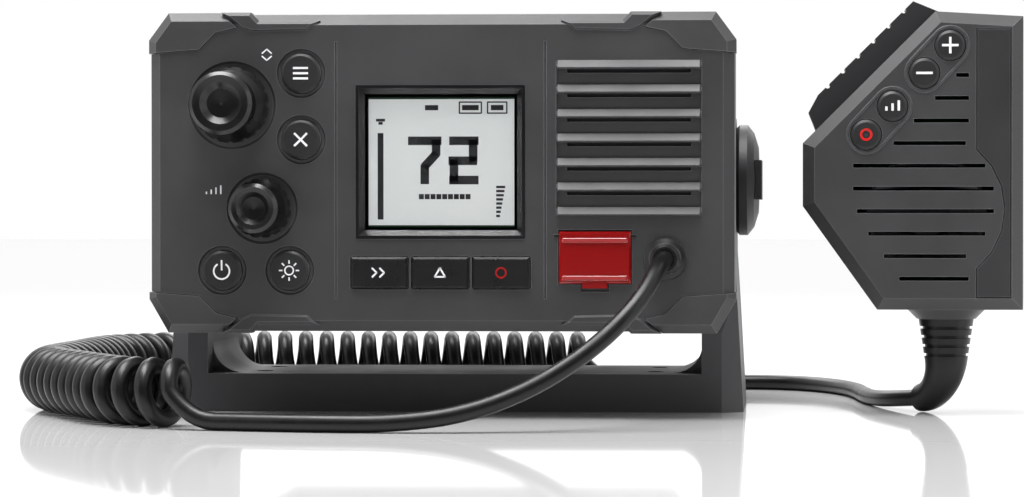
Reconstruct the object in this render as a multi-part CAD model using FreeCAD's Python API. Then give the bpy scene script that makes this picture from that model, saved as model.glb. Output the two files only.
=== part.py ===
import FreeCAD, Part
import math
import os

# A fixed-mount marine radio on its gimbal bracket, with a fist microphone on a curly cord.
# X runs along the face to the viewer's right, Y from the face to the back, Z up.
# The origin is the middle of the bracket's screw pattern, on the surface that it stands on.
# All sizes are in millimetres.

V = FreeCAD.Vector

# Driving sizes of the radio's body
TILT_AXIS_Z = 70.0
FACE_Y = -65.0
FACE_WIDTH = 170.0
FACE_BOTTOM_Z = 25.5
FACE_HEIGHT = 92.0
BEZEL_DEPTH = 22.0
BEZEL_WALL = 2.6
FACE_BEVEL = 3.2
FACE_BEVEL_DEPTH = 3.6
TOP_CORNER_ACROSS = 5.6
TOP_CORNER_DOWN = 7.6
BOTTOM_CORNER_ACROSS = 5.4
BOTTOM_CORNER_UP = 9.4
SEAL_THICKNESS = 1.4
CHASSIS_WIDTH = 143.0
CHASSIS_HEIGHT = 83.0
CHASSIS_DEPTH = 103.0
CHASSIS_WALL = 3.0
CHASSIS_CORNER = 9.0
FIN_DEPTH = 15.0
FIN_THICKNESS = 2.0
FIN_COUNT = 15
FIN_FOOT_Z = 55.0

# Driving sizes of the gimbal bracket and its clamp knobs
WASHER_THICKNESS = 2.9
FACE_GAP = 0.1
ARM_INNER_X = CHASSIS_WIDTH / 2 + WASHER_THICKNESS + FACE_GAP
ARM_BASE_OUTER_X = ARM_INNER_X + 12.5
ARM_TOP_OUTER_X = ARM_INNER_X + 9.8
ARM_BASE_DEPTH = 55.0
ARM_TOP_DEPTH = 38.0
ARM_ROUND_RISE = 19.0
BASE_HEIGHT = 11.5
BASE_FRONT_Y = -30.0
BASE_POCKET_WALL = 3.5
ARM_FOOT_RADIUS = 9.0
SCREW_SPACING_X = 120.0
SCREW_SPACING_Y = 26.0
SCREW_HOLE_R = 2.6
STUD_R = 3.0
RUNNING_GAP = 0.08
STUD_DEPTH_IN_CHASSIS = 9.0
CLAMP_KNOB_R = 17.0
CLAMP_KNOB_REACH = 7.8
WASHER_R = 15.0

# Keys, knobs and windows on the face: centre across, centre height, radius or size
CHANNEL_X = -60.7
CHANNEL_Z = 91.1
CHANNEL_R = 11.0
CHANNEL_RIM_R = 9.0
CHANNEL_LENGTH = 19.0
VOLUME_X = -51.9
VOLUME_Z = 61.2
VOLUME_R = 8.6
VOLUME_RIM_R = 7.1
VOLUME_LENGTH = 16.5
SHAFT_R = 3.0
KNOB_LIFT = 0.9
ROUND_KEY_R = 5.7
ROUND_KEY_PLACES = {
    "menu_key": (-40.5, 100.3),
    "close_key": (-40.5, 81.1),
    "power_key": (-63.6, 43.2),
    "light_key": (-43.9, 43.2),
}
KEY_GAP = 0.3
KEY_PROUD = 1.2
KEY_LIP = 0.9
KEY_LIP_THICKNESS = 1.0
KEY_TRAVEL_ROOM = 1.0
SOFTKEY_WIDTH = 17.7
SOFTKEY_HEIGHT = 9.8
SOFTKEY_Z = 42.6
SOFTKEY_NAMES = ["softkey_left", "softkey_middle", "softkey_right"]
SCREEN_WIDTH = 49.4
SCREEN_HEIGHT = 44.6
SCREEN_Z = 74.6
SCREEN_FRAME = 2.4
SCREEN_SINK = 1.6
LCD_WIDTH = 41.6
LCD_HEIGHT = 34.6
GRILLE_X0 = 33.6
GRILLE_X1 = 75.6
GRILLE_TOP_Z = 102.6
GRILLE_PITCH = 7.06
GRILLE_BARS = 7
BAR_HEIGHT = 2.2
BAR_PROUD = 1.3
SLOT_HEIGHT = 1.1
COVER_WIDTH = 20.8
COVER_HEIGHT = 15.0
COVER_X = 44.8
COVER_Z = 47.0
COVER_THICKNESS = 1.8
COVER_PIN_R = 0.5
COVER_PIN_GAP = 0.05
COVER_PIN_REACH = 1.5
COVER_PIN_Y = FACE_Y - 0.1
COVER_PIN_Z = COVER_Z + COVER_HEIGHT / 2 - 1.1
DISTRESS_KEY_Z = COVER_Z - 1.2
GLAND_X = 65.2
GLAND_Z = 46.6
GLAND_R = 6.3
GLAND_NECK_R = 5.0
GLAND_REACH = 6.2
GLAND_CORE_Y = FACE_Y - 4.0
GLAND_CLEARANCE = 0.15
GROOVE_X = 30.4
DISH_RIM = 1.4
FLUTES = 16
FRAME_GAP = 0.15
WINDOW_THICKNESS = 1.0
LEDGE = 0.9
CORNERS = [("top_right", 1, True), ("top_left", -1, True), ("bottom_right", 1, False), ("bottom_left", -1, False)]
CAP_DEPTH = 9.0
CAP_SEAM = 0.2
CAP_PROUD = 0.5
TAB_DEPTH = 5.0
TAB_PROUD = 0.6

# Inside the front and the case. A pocket is left, right, rise over the bottom edge and drop under the top edge
FRONT_POCKETS = [(-58.0, 30.0, 8.0, 9.5), (30.0, 78.0, 11.5, 13.0), (-76.0, -58.0, 11.0, 14.0)]
FLANGE_THICKNESS = 3.0
POCKET_START = 10.6
BOARD_THICKNESS = 1.6
ENCODER_SIZE = 10.0
MAIN_BOARD_Z = 51.0
CHASSIS_REAR_WALL = 4.5
SOCKET_Z = 43.5
SOCKETS = {"antenna_socket": (-42.0, 7.9), "power_socket": (0.0, 7.0), "data_socket": (42.0, 6.0)}
CASE_SCREW_PLACES = [(-65.5, 46.0), (65.5, 46.0), (-65.5, 100.0), (65.5, 100.0)]

# The cord and its curls
CORD_D = 5.0
CURL_OUTER_D = 19.6
CURL_TURNS = 49.5
CURL_RUN_OUT = 8.5
LAST_LEG = 16.4
CURL_SIDES = 6
COIL_PIECES = [(107.0, None), (75.4, 48.0), (60.0, None), (31.4, 60.0), (50.0, None), (30.5, 38.0)]
FRONT_LEAD_ROUTE = [
    (65.2, -69.0, 46.6),
    (65.2, -86.0, 46.6),
    (60.0, -101.0, 35.5),
    (48.0, -109.5, 23.0),
    (31.5, -115.5, 12.0),
    (13.0, -119.2, 5.0),
    (-6.0, -120.3, 2.6),
    (-24.0, -119.6, 2.5),
]
MIC_LEAD_ROUTE = [
    (132.1, -9.3, 3.2),
    (126.5, 6.0, 2.5),
    (124.0, 26.0, 2.5),
    (122.5, 48.0, 2.5),
    (117.0, 69.0, 2.5),
    (106.0, 87.5, 2.5),
    (91.0, 95.5, 2.5),
    (74.0, 95.0, 2.5),
    (58.0, 89.7, 2.5),
]

# The microphone: its own outline, front and depth
MIC_FRONT_Y = -47.0
MIC_FRONT_DEPTH = 15.0
MIC_REAR_DEPTH = 18.0
MIC_SEAL = 1.0
MIC_WALL = 2.2
MIC_BEVEL = 3.4
MIC_BEVEL_DEPTH = 4.2
MIC_OUTLINE = [
    (104.7, 61.9),
    (126.6, 31.4),
    (169.3, 31.4),
    (169.3, 117.6),
    (143.6, 119.1),
    (104.7, 80.4),
]
MIC_KEY_R = 4.4
MIC_KEY_PLACES = {
    "mic_up_key": (147.7, 108.9),
    "mic_down_key": (140.2, 100.8),
    "mic_power_key": (130.9, 91.1),
    "mic_channel_key": (123.2, 82.8),
}
MIC_SLOTS = [
    (149.4, 153.2, 100.2),
    (143.3, 153.2, 93.5),
    (137.1, 153.2, 86.9),
    (131.2, 152.3, 80.3),
    (119.4, 158.0, 73.7),
    (119.4, 160.5, 67.0),
    (120.5, 160.5, 60.4),
    (123.9, 158.0, 53.8),
    (128.4, 152.5, 47.2),
    (132.9, 153.2, 40.6),
]
MIC_SLOT_HEIGHT = 1.2
BAND_X = 155.3
BAND_THICKNESS = 1.4
BAND_RIGHT_X = 165.6
BAND_FIELD_X = 141.0
BAND_FIELD_Z = 61.0
BAND_FIELD_R = 22.5
MIC_FRONT_INSET = 4.8
MIC_REAR_INSET = 5.8
MIC_REAR_SLOPE = 5.0
MIC_SCREW_PLACES = [(126.0, 52.0), (158.0, 44.0), (158.0, 105.0)]
SHOULDER_IN_X = 0.705
SHOULDER_IN_Z = -0.709
TALK_DEPTH = 2.0
TALK_ROOM = 1.9
TALK_GAP = 0.3
MIC_SPEAKER_X = 141.0
MIC_SPEAKER_Z = 60.0
MIC_CAPSULE_X = 114.0
MIC_CAPSULE_Z = 76.0
HANG_STUD_X = 142.0
HANG_STUD_Z = 76.0
BOOT_X = 147.4
BOOT_TOP_R = 8.2
BOOT_TIP_R = 4.2
BOOT_ELBOW_Z = 17.0
BOOT_GROOVES = 4
BOOT_GROOVE_PITCH = 2.7
BOOT_GROOVE = 0.9

# Sizes that follow from the ones above
FACE_TOP_Z = FACE_BOTTOM_Z + FACE_HEIGHT
FACE_MID_Z = FACE_BOTTOM_Z + FACE_HEIGHT / 2
BEZEL_BACK_Y = FACE_Y + BEZEL_DEPTH
PANEL_BACK_Y = FACE_Y + BEZEL_WALL
CHASSIS_FRONT_Y = BEZEL_BACK_Y + SEAL_THICKNESS
CHASSIS_BACK_Y = CHASSIS_FRONT_Y + CHASSIS_DEPTH
FIN_BACK_Y = CHASSIS_BACK_Y + FIN_DEPTH
BASE_BACK_Y = BASE_FRONT_Y + ARM_BASE_DEPTH
WASHER_INNER_X = CHASSIS_WIDTH / 2
WASHER_OUTER_X = ARM_INNER_X - FACE_GAP
MIC_MID_Y = MIC_FRONT_Y + MIC_FRONT_DEPTH
MIC_REAR_FRONT_Y = MIC_MID_Y + MIC_SEAL
MIC_BACK_Y = MIC_REAR_FRONT_Y + MIC_REAR_DEPTH
CURL_R = (CURL_OUTER_D - CORD_D) / 2
COIL_Z = CURL_OUTER_D / 2
KEY_MAT_Y = FACE_Y + BEZEL_WALL + KEY_LIP_THICKNESS + KEY_TRAVEL_ROOM
BOARD_Y = KEY_MAT_Y + 3.0
LCD_FRONT_Y = PANEL_BACK_Y + 0.8
ENCODER_FRONT_Y = BOARD_Y - 4.4
ENCODER_BACK_Y = BOARD_Y - 1.0
COIL_START = V(30.0, 97.0, COIL_Z)
COIL_LENGTH = sum(length for length, radius in COIL_PIECES)
BOOT_Y = MIC_FRONT_Y + 17.0
BOOT_TIP = V(BOOT_X - 7.0, BOOT_Y + 9.5, 4.3)


def block(x0, x1, y0, y1, z0, z1):
    return Part.makeBox(x1 - x0, y1 - y0, z1 - z0, V(x0, y0, z0))


def prism_y(outline, y0, y1):
    """A plate of this XZ outline, from y0 to y1."""
    points = [V(x, y0, z) for x, z in outline]
    face = Part.Face(Part.makePolygon(points + points[:1]))
    return face.extrude(V(0, y1 - y0, 0))


def disc_y(x, z, r, y0, y1):
    return Part.makeCylinder(r, y1 - y0, V(x, y0, z), V(0, 1, 0))


def disc_x(x0, x1, y, z, r):
    return Part.makeCylinder(r, x1 - x0, V(x0, y, z), V(1, 0, 0))


def disc_z(x, y, r, z0, z1):
    return Part.makeCylinder(r, z1 - z0, V(x, y, z0), V(0, 0, 1))


def turned_y(profile, x, z):
    """A turned piece round the line along Y at x, z. The profile holds (radius, y) points."""
    points = [V(x + r, y, z) for r, y in profile]
    face = Part.Face(Part.makePolygon(points + points[:1]))
    return face.revolve(V(x, 0, z), V(0, 1, 0), 360)


def turned_x(profile, y, z):
    """A turned piece round the line along X at y, z. The profile holds (radius, x) points."""
    points = [V(x, y, z + r) for r, x in profile]
    face = Part.Face(Part.makePolygon(points + points[:1]))
    return face.revolve(V(0, y, z), V(1, 0, 0), 360)


def turned_z(profile, x, y):
    """A turned piece round the line along Z at x, y. The profile holds (radius, z) points."""
    points = [V(x + r, y, z) for r, z in profile]
    face = Part.Face(Part.makePolygon(points + points[:1]))
    return face.revolve(V(x, y, 0), V(0, 0, 1), 360)


def inset(outline, distance):
    """The outline moved inwards by a distance, corner by corner."""
    area = 0.0
    count = len(outline)
    for i in range(count):
        x0, z0 = outline[i]
        x1, z1 = outline[(i + 1) % count]
        area += x0 * z1 - x1 * z0
    turn = 1 if area > 0 else -1
    moved = []
    for i in range(count):
        before = V(outline[i - 1][0], outline[i - 1][1], 0)
        here = V(outline[i][0], outline[i][1], 0)
        after = V(outline[(i + 1) % count][0], outline[(i + 1) % count][1], 0)
        way_in = (here - before).normalize()
        way_out = (after - here).normalize()
        side_in = V(-way_in.y, way_in.x, 0) * turn
        side_out = V(-way_out.y, way_out.x, 0) * turn
        share = 1 + side_in.dot(side_out)
        corner = here + (side_in + side_out) * (distance / share)
        moved.append((corner.x, corner.y))
    return moved


def mirrored(outline):
    return [(-x, z) for x, z in reversed(outline)]


def bevelled_y(outline, y0, y1, bevel, depth):
    """A plate with its front edge bevelled all round: inset by bevel at y0, full from y0 + depth."""
    front = [V(x, y0, z) for x, z in inset(outline, bevel)]
    full = [V(x, y0 + depth, z) for x, z in outline]
    rings = [Part.makePolygon(ring + ring[:1]) for ring in (front, full)]
    nose = Part.makeLoft(rings, True, True)
    return nose.fuse(prism_y(outline, y0 + depth, y1)).removeSplitter()


def rounded_plate(x, z, width, height, radius, y0, y1):
    """A plate with rounded corners, centred on x and z."""
    plate = block(x - width / 2, x + width / 2, y0, y1, z - height / 2, z + height / 2)
    corners = [e for e in plate.Edges if abs(e.tangentAt(0).y) > 0.99]
    return plate.makeFillet(radius, corners)


def arc_middle(start, tangent, end):
    """The middle point of the arc that leaves start along tangent and reaches end."""
    chord = end - start
    way = V(chord).normalize()
    lean = math.acos(max(-1.0, min(1.0, way.dot(tangent))))
    return start + (tangent + way).normalize() * (chord.Length / 2 / math.cos(lean / 2))


def biarc(start, tangent, end, end_tangent):
    """Two arcs that join two points with a tangent at each."""
    v = end - start
    t = tangent + end_tangent
    b = 2 * (1 - tangent.dot(end_tangent))
    d = (-v.dot(t) + math.sqrt(v.dot(t) ** 2 + b * v.dot(v))) / b
    joint = (start + end + (tangent - end_tangent) * d) * 0.5
    first = Part.Arc(start, arc_middle(start, tangent, joint), joint)
    second = Part.Arc(joint, arc_middle(end, end_tangent * -1, joint), end)
    return [first.toShape(), second.toShape()]


def rounded_route(name, points):
    """Straight runs joined by the largest tangent arcs that they allow, as edges. It prints the radii."""
    edges = []
    radii = []
    here = points[0]
    for i in range(1, len(points) - 1):
        run_in = points[i] - points[i - 1]
        run_out = points[i + 1] - points[i]
        way_in = V(run_in).normalize()
        way_out = V(run_out).normalize()
        half_turn = math.acos(max(-1.0, min(1.0, way_in.dot(way_out)))) / 2
        reach = 0.45 * min(run_in.Length, run_out.Length)
        radii.append(reach / math.tan(half_turn))
        arc_start = points[i] - way_in * reach
        arc_end = points[i] + way_out * reach
        edges.append(Part.makeLine(here, arc_start))
        middle = arc_middle(arc_start, way_in, arc_end)
        edges.append(Part.Arc(arc_start, middle, arc_end).toShape())
        here = arc_end
    edges.append(Part.makeLine(here, points[-1]))
    print(name, "arc radii", [round(r, 1) for r in radii])
    return edges


def swept(edges, section):
    """A solid of one section along tangent edges."""
    shell = Part.BRepOffsetAPI.MakePipeShell(Part.Wire(edges))
    shell.add(section)
    shell.build()
    shell.makeSolid()
    return shell.shape()


def ring_at(point, normal, radius):
    return Part.Wire(Part.makeCircle(radius, point, normal))


def polygon_at(point, normal, radius, sides):
    """A regular polygon across the line at point, with one flat side down."""
    side = normal.cross(V(0, 0, 1)).normalize()
    up = side.cross(normal).normalize()
    corners = []
    for i in range(sides):
        angle = 2 * math.pi * (i + 0.5) / sides - math.pi / 2
        corners.append(point + side * (radius * math.cos(angle)) + up * (radius * math.sin(angle)))
    return Part.makePolygon(corners + corners[:1])


def save(name, shape):
    solids = shape.Solids
    good = all(s.isValid() for s in solids) and len(solids) > 0
    print("%-24s solids %d volume %9.1f %s" % (name, len(solids), shape.Volume, "ok" if good else "BAD"))
    whole = solids[0] if len(solids) == 1 else Part.makeCompound(solids)
    whole.exportStep("parts/%s.step" % name)


def face_outline():
    """The front's outline: a wide plate with a short cut at each corner."""
    half = FACE_WIDTH / 2
    return [
        (-half, FACE_BOTTOM_Z + BOTTOM_CORNER_UP),
        (-half + BOTTOM_CORNER_ACROSS, FACE_BOTTOM_Z),
        (half - BOTTOM_CORNER_ACROSS, FACE_BOTTOM_Z),
        (half, FACE_BOTTOM_Z + BOTTOM_CORNER_UP),
        (half, FACE_TOP_Z - TOP_CORNER_DOWN),
        (half - TOP_CORNER_ACROSS, FACE_TOP_Z),
        (-half + TOP_CORNER_ACROSS, FACE_TOP_Z),
        (-half, FACE_TOP_Z - TOP_CORNER_DOWN),
    ]


def chassis_outline():
    half = CHASSIS_WIDTH / 2
    low = FACE_MID_Z - CHASSIS_HEIGHT / 2
    high = FACE_MID_Z + CHASSIS_HEIGHT / 2
    return [
        (-half, low + CHASSIS_CORNER),
        (-half + CHASSIS_CORNER, low),
        (half - CHASSIS_CORNER, low),
        (half, low + CHASSIS_CORNER),
        (half, high - CHASSIS_CORNER),
        (half - CHASSIS_CORNER, high),
        (-half + CHASSIS_CORNER, high),
        (-half, high - CHASSIS_CORNER),
    ]


def corner_place(points, side, top):
    """Points given as (distance across from the middle, distance in from the edge) put at one corner."""
    if top:
        outline = [(x, FACE_TOP_Z - inwards) for x, inwards in points]
    else:
        outline = [(x, FACE_BOTTOM_Z + inwards) for x, inwards in reversed(points)]
    return outline if side > 0 else mirrored(outline)


def cap_outline(side, top):
    """One corner cap, as the seam round it runs. It reaches past the corner's outer edges."""
    half = FACE_WIDTH / 2
    points = [(half + 1, -1), (half - 20.5, -1), (half - 26.2, 4.0), (half - 19.8, 5.4),
              (half - 14.8, 10.4), (half + 1, 11.6)]
    return corner_place(points, side, top)


def tab_outline(side, top):
    """The bevelled pad beside a corner cap, which stands a little proud of the face's long edge."""
    half = FACE_WIDTH / 2
    points = [(half - 21.0, -0.5), (half - 29.8, -0.5), (half - 32.2, 1.9), (half - 50.0, 1.9), (half - 46.4, 5.2),
              (half - 30.0, 5.6), (half - 26.6, 4.2)]
    return corner_place(points, side, top)


def corner_caps():
    """Four caps that cover the screws in the corners of the front."""
    for name, side, top in CORNERS:
        blank = bevelled_y(inset(face_outline(), -CAP_PROUD), FACE_Y - CAP_PROUD, FACE_Y + CAP_DEPTH, 2.6, 3.2)
        seam_side = inset(cap_outline(side, top), CAP_SEAM)
        cap = blank.common(prism_y(seam_side, FACE_Y - 2, FACE_Y + CAP_DEPTH))
        save("corner_cap_" + name, cap)


def grille(shell):
    """The louvred field: a shallow recess, rounded bars across it and a slot through under each bar but the last."""
    low = GRILLE_TOP_Z - (GRILLE_BARS - 1) * GRILLE_PITCH - BAR_HEIGHT / 2
    high = GRILLE_TOP_Z + BAR_HEIGHT / 2
    shell = shell.cut(block(GRILLE_X0, GRILLE_X1, FACE_Y - 1, FACE_Y + BAR_PROUD - 0.5, low, high))
    for index in range(GRILLE_BARS):
        z = GRILLE_TOP_Z - index * GRILLE_PITCH
        below = z - BAR_HEIGHT / 2
        above = z + BAR_HEIGHT / 2
        foot_y = FACE_Y + BAR_PROUD
        profile = [(foot_y, below), (FACE_Y, below + 0.2), (FACE_Y - 0.5, z - 0.2),
                   (FACE_Y - 0.2, above - 0.4), (foot_y, above)]
        points = [V(GRILLE_X0, y, h) for y, h in profile]
        shell = shell.fuse(Part.Face(Part.makePolygon(points + points[:1])).extrude(V(GRILLE_X1 - GRILLE_X0, 0, 0)))
        if index < GRILLE_BARS - 1:
            slot_top = below - 0.1
            shell = shell.cut(block(GRILLE_X0 + 3, GRILLE_X1 - 3, FACE_Y, PANEL_BACK_Y + 1,
                                    slot_top - SLOT_HEIGHT, slot_top))
    return shell


def hollowed(shell):
    """The shell hollowed behind its panel, with a flange left round its back for the seal."""
    for x0, x1, below, above in FRONT_POCKETS:
        pocket = block(x0, x1, PANEL_BACK_Y, BEZEL_BACK_Y - FLANGE_THICKNESS,
                       FACE_BOTTOM_Z + below, FACE_TOP_Z - above)
        shell = shell.cut(pocket)
    return shell.cut(prism_y(inset(chassis_outline(), CHASSIS_WALL), FACE_Y + POCKET_START, BEZEL_BACK_Y + 1))


def front_bezel():
    """The moulded front: a bevelled shell with openings for all that stands in the face."""
    shell = bevelled_y(face_outline(), FACE_Y, BEZEL_BACK_Y, FACE_BEVEL, FACE_BEVEL_DEPTH)
    for name, side, top in CORNERS:
        shell = shell.fuse(bevelled_y(tab_outline(side, top), FACE_Y - TAB_PROUD, FACE_Y + TAB_DEPTH, 1.0, 1.2))
    shell = hollowed(shell)
    for name, side, top in CORNERS:
        shell = shell.cut(prism_y(cap_outline(side, top), FACE_Y - 2, FACE_Y + CAP_DEPTH))
    shell = shell.cut(rounded_plate(0, SCREEN_Z, SCREEN_WIDTH, SCREEN_HEIGHT, 0.6, FACE_Y - 1, PANEL_BACK_Y + 1))
    for x, z in ROUND_KEY_PLACES.values():
        dish_r = ROUND_KEY_R + DISH_RIM
        dish = [(0, FACE_Y - 0.5), (dish_r + 0.5, FACE_Y - 0.5), (dish_r - 0.5, FACE_Y + 0.7), (0, FACE_Y + 0.7)]
        shell = shell.cut(turned_y(dish, x, z))
        shell = shell.cut(disc_y(x, z, ROUND_KEY_R + KEY_GAP, FACE_Y - 1, PANEL_BACK_Y + 1))
    for index in range(len(SOFTKEY_NAMES)):
        x = (index - 1) * SOFTKEY_WIDTH
        hole = rounded_plate(x, SOFTKEY_Z, SOFTKEY_WIDTH - 0.6, SOFTKEY_HEIGHT, 0.8, FACE_Y - 1, PANEL_BACK_Y + 1)
        shell = shell.cut(hole)
    for x, z, r in ((CHANNEL_X, CHANNEL_Z, CHANNEL_R), (VOLUME_X, VOLUME_Z, VOLUME_R)):
        well = [(0, FACE_Y - 0.5), (r + 2.4, FACE_Y - 0.5), (r + 1.0, FACE_Y + 0.8), (0, FACE_Y + 0.8)]
        shell = shell.cut(turned_y(well, x, z))
        shell = shell.cut(disc_y(x, z, SHAFT_R + RUNNING_GAP, FACE_Y - 1, PANEL_BACK_Y + 1))
    shell = grille(shell)
    x0 = COVER_X - COVER_WIDTH / 2
    x1 = COVER_X + COVER_WIDTH / 2
    low = COVER_Z - COVER_HEIGHT / 2
    high = COVER_Z + COVER_HEIGHT / 2
    shell = shell.cut(block(x0 - 0.3, x1 + 0.3, FACE_Y - 1, FACE_Y + 1.2, low - 0.3, high + 0.5))
    shell = shell.cut(block(x0 - 0.3, x1 + 0.3, FACE_Y - 1, FACE_Y + 1.6, high - 2.6, high + 0.5))
    shell = shell.cut(block(COVER_X - 4.2, COVER_X + 4.2, FACE_Y - 1, FACE_Y + 0.8, low - 2.4, low))
    shell = shell.cut(disc_x(x0 - COVER_PIN_REACH, x1 + COVER_PIN_REACH, COVER_PIN_Y, COVER_PIN_Z, COVER_PIN_R))
    shell = shell.cut(rounded_plate(COVER_X, DISTRESS_KEY_Z, 15.4, 9.4, 1.0, FACE_Y, PANEL_BACK_Y + 1))
    shell = shell.cut(disc_y(GLAND_X, GLAND_Z, GLAND_NECK_R, FACE_Y - 1, PANEL_BACK_Y + 1))
    for x in (-GROOVE_X, GROOVE_X):
        shell = shell.cut(block(x - 0.3, x + 0.3, FACE_Y - 1, FACE_Y + 0.4, FACE_BOTTOM_Z + 9.5, FACE_TOP_Z - 8))
    save("front_bezel", shell.removeSplitter())


def screen_parts():
    """The chamfered frame round the display, its window on a ledge, and the display behind it."""
    half = SCREEN_WIDTH / 2 - FRAME_GAP
    tall = SCREEN_HEIGHT / 2 - FRAME_GAP
    outer = [(-half, SCREEN_Z - tall), (half, SCREEN_Z - tall), (half, SCREEN_Z + tall), (-half, SCREEN_Z + tall)]
    window_y = FACE_Y + SCREEN_SINK
    ledge_y = window_y + WINDOW_THICKNESS
    frame = prism_y(outer, FACE_Y - 0.4, PANEL_BACK_Y)
    frame = frame.fuse(prism_y(inset(outer, -1.6), PANEL_BACK_Y, LCD_FRONT_Y))
    wide = [V(x, FACE_Y - 0.5, z) for x, z in inset(outer, 0.8)]
    narrow = [V(x, window_y, z) for x, z in inset(outer, SCREEN_FRAME)]
    frame = frame.cut(Part.makeLoft([Part.makePolygon(r + r[:1]) for r in (wide, narrow)], True, True))
    frame = frame.cut(prism_y(inset(outer, SCREEN_FRAME), window_y - 0.01, ledge_y))
    frame = frame.cut(prism_y(inset(outer, SCREEN_FRAME + LEDGE), ledge_y - 0.01, LCD_FRONT_Y + 1))
    save("screen_frame", frame.removeSplitter())
    save("screen_window", prism_y(inset(outer, SCREEN_FRAME + 0.02), window_y, ledge_y))
    save("lcd_panel", block(-LCD_WIDTH / 2 - 0.8, LCD_WIDTH / 2 + 0.8, LCD_FRONT_Y, BOARD_Y,
                            SCREEN_Z - LCD_HEIGHT / 2 - 1.0, SCREEN_Z + LCD_HEIGHT / 2 + 1.0))


def knob(name, x, z, base_r, rim_r, length):
    """A turned knob: a fluted skirt, a waist, a round rim and a dished end, on its own shaft."""
    skirt_y = FACE_Y - KNOB_LIFT
    end_y = FACE_Y - length
    profile = [
        (0, skirt_y),
        (base_r, skirt_y),
        (base_r, skirt_y - 2.6),
        (base_r - 1.0, skirt_y - 4.2),
        (rim_r - 0.6, skirt_y - 6.5),
        (rim_r - 0.3, end_y + 3.0),
        (rim_r, end_y + 2.4),
        (rim_r, end_y + 1.0),
        (rim_r - 1.0, end_y),
        (rim_r * 0.66, end_y + 0.4),
        (rim_r * 0.46, end_y + 1.9),
        (0, end_y + 2.2),
    ]
    body = turned_y(profile, x, z)
    for index in range(FLUTES):
        angle = 2 * math.pi * index / FLUTES
        across = x + (base_r + 0.5) * math.cos(angle)
        up = z + (base_r + 0.5) * math.sin(angle)
        body = body.cut(disc_y(across, up, 1.0, skirt_y - 5, skirt_y + 1))
    shaft = disc_y(x, z, SHAFT_R, skirt_y - 1, ENCODER_FRONT_Y)
    save(name, body.fuse(shaft).removeSplitter())


def encoders():
    """The switches under the two knobs, with room behind them to be pushed in."""
    for name, x, z in (("channel_encoder", CHANNEL_X, CHANNEL_Z), ("volume_encoder", VOLUME_X, VOLUME_Z)):
        half = ENCODER_SIZE / 2
        save(name, block(x - half, x + half, ENCODER_FRONT_Y, ENCODER_BACK_Y, z - half, z + half))


def round_keys():
    """Four round keys, each with a lip behind the panel."""
    for name, (x, z) in ROUND_KEY_PLACES.items():
        lip_y = PANEL_BACK_Y
        profile = [
            (0, FACE_Y - KEY_PROUD + 0.3),
            (ROUND_KEY_R * 0.6, FACE_Y - KEY_PROUD),
            (ROUND_KEY_R - 0.7, FACE_Y - KEY_PROUD),
            (ROUND_KEY_R, FACE_Y - KEY_PROUD + 0.7),
            (ROUND_KEY_R, lip_y),
            (ROUND_KEY_R + KEY_LIP, lip_y),
            (ROUND_KEY_R + KEY_LIP, lip_y + KEY_LIP_THICKNESS),
            (0, lip_y + KEY_LIP_THICKNESS),
        ]
        save(name, turned_y(profile, x, z))


def softkeys():
    """Three keys in a row under the display, each with a flange behind the panel."""
    for index, name in enumerate(SOFTKEY_NAMES):
        x = (index - 1) * SOFTKEY_WIDTH
        half = (SOFTKEY_WIDTH - 0.6) / 2 - KEY_GAP
        tall = SOFTKEY_HEIGHT / 2 - KEY_GAP
        outline = [(x - half, SOFTKEY_Z - tall), (x + half, SOFTKEY_Z - tall), (x + half, SOFTKEY_Z + tall),
                   (x - half, SOFTKEY_Z + tall)]
        key = bevelled_y(outline, FACE_Y - KEY_PROUD, PANEL_BACK_Y, 0.7, 0.8)
        flange = prism_y(inset(outline, -KEY_GAP), PANEL_BACK_Y, PANEL_BACK_Y + KEY_LIP_THICKNESS)
        save(name, key.fuse(flange).removeSplitter())


def distress_parts():
    """The flip-up cover over the guarded key, hinged on a pin along its top edge."""
    x0 = COVER_X - COVER_WIDTH / 2
    x1 = COVER_X + COVER_WIDTH / 2
    low = COVER_Z - COVER_HEIGHT / 2
    high = COVER_Z + COVER_HEIGHT / 2
    front_y = FACE_Y - 1.0
    lid = block(x0, x1, front_y, front_y + COVER_THICKNESS, low, high)
    edges = [e for e in lid.Edges if abs(e.CenterOfMass.y - front_y) < 0.01]
    lid = lid.makeChamfer(0.5, edges)
    lid = lid.fuse(block(COVER_X - 3.6, COVER_X + 3.6, front_y, front_y + 0.8, low - 1.4, low + 0.5))
    lid = lid.cut(disc_x(x0 - 1, x1 + 1, COVER_PIN_Y, COVER_PIN_Z, COVER_PIN_R + COVER_PIN_GAP))
    save("distress_cover", lid.removeSplitter())
    pin = disc_x(x0 - COVER_PIN_REACH, x1 + COVER_PIN_REACH, COVER_PIN_Y, COVER_PIN_Z, COVER_PIN_R)
    save("distress_hinge_pin", pin)
    key = rounded_plate(COVER_X, DISTRESS_KEY_Z, 14.8, 8.8, 0.8, FACE_Y + 1.1, PANEL_BACK_Y)
    flange = rounded_plate(COVER_X, DISTRESS_KEY_Z, 16.6, 10.6, 0.8, PANEL_BACK_Y, PANEL_BACK_Y + KEY_LIP_THICKNESS)
    save("distress_key", key.fuse(flange).removeSplitter())


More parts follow.
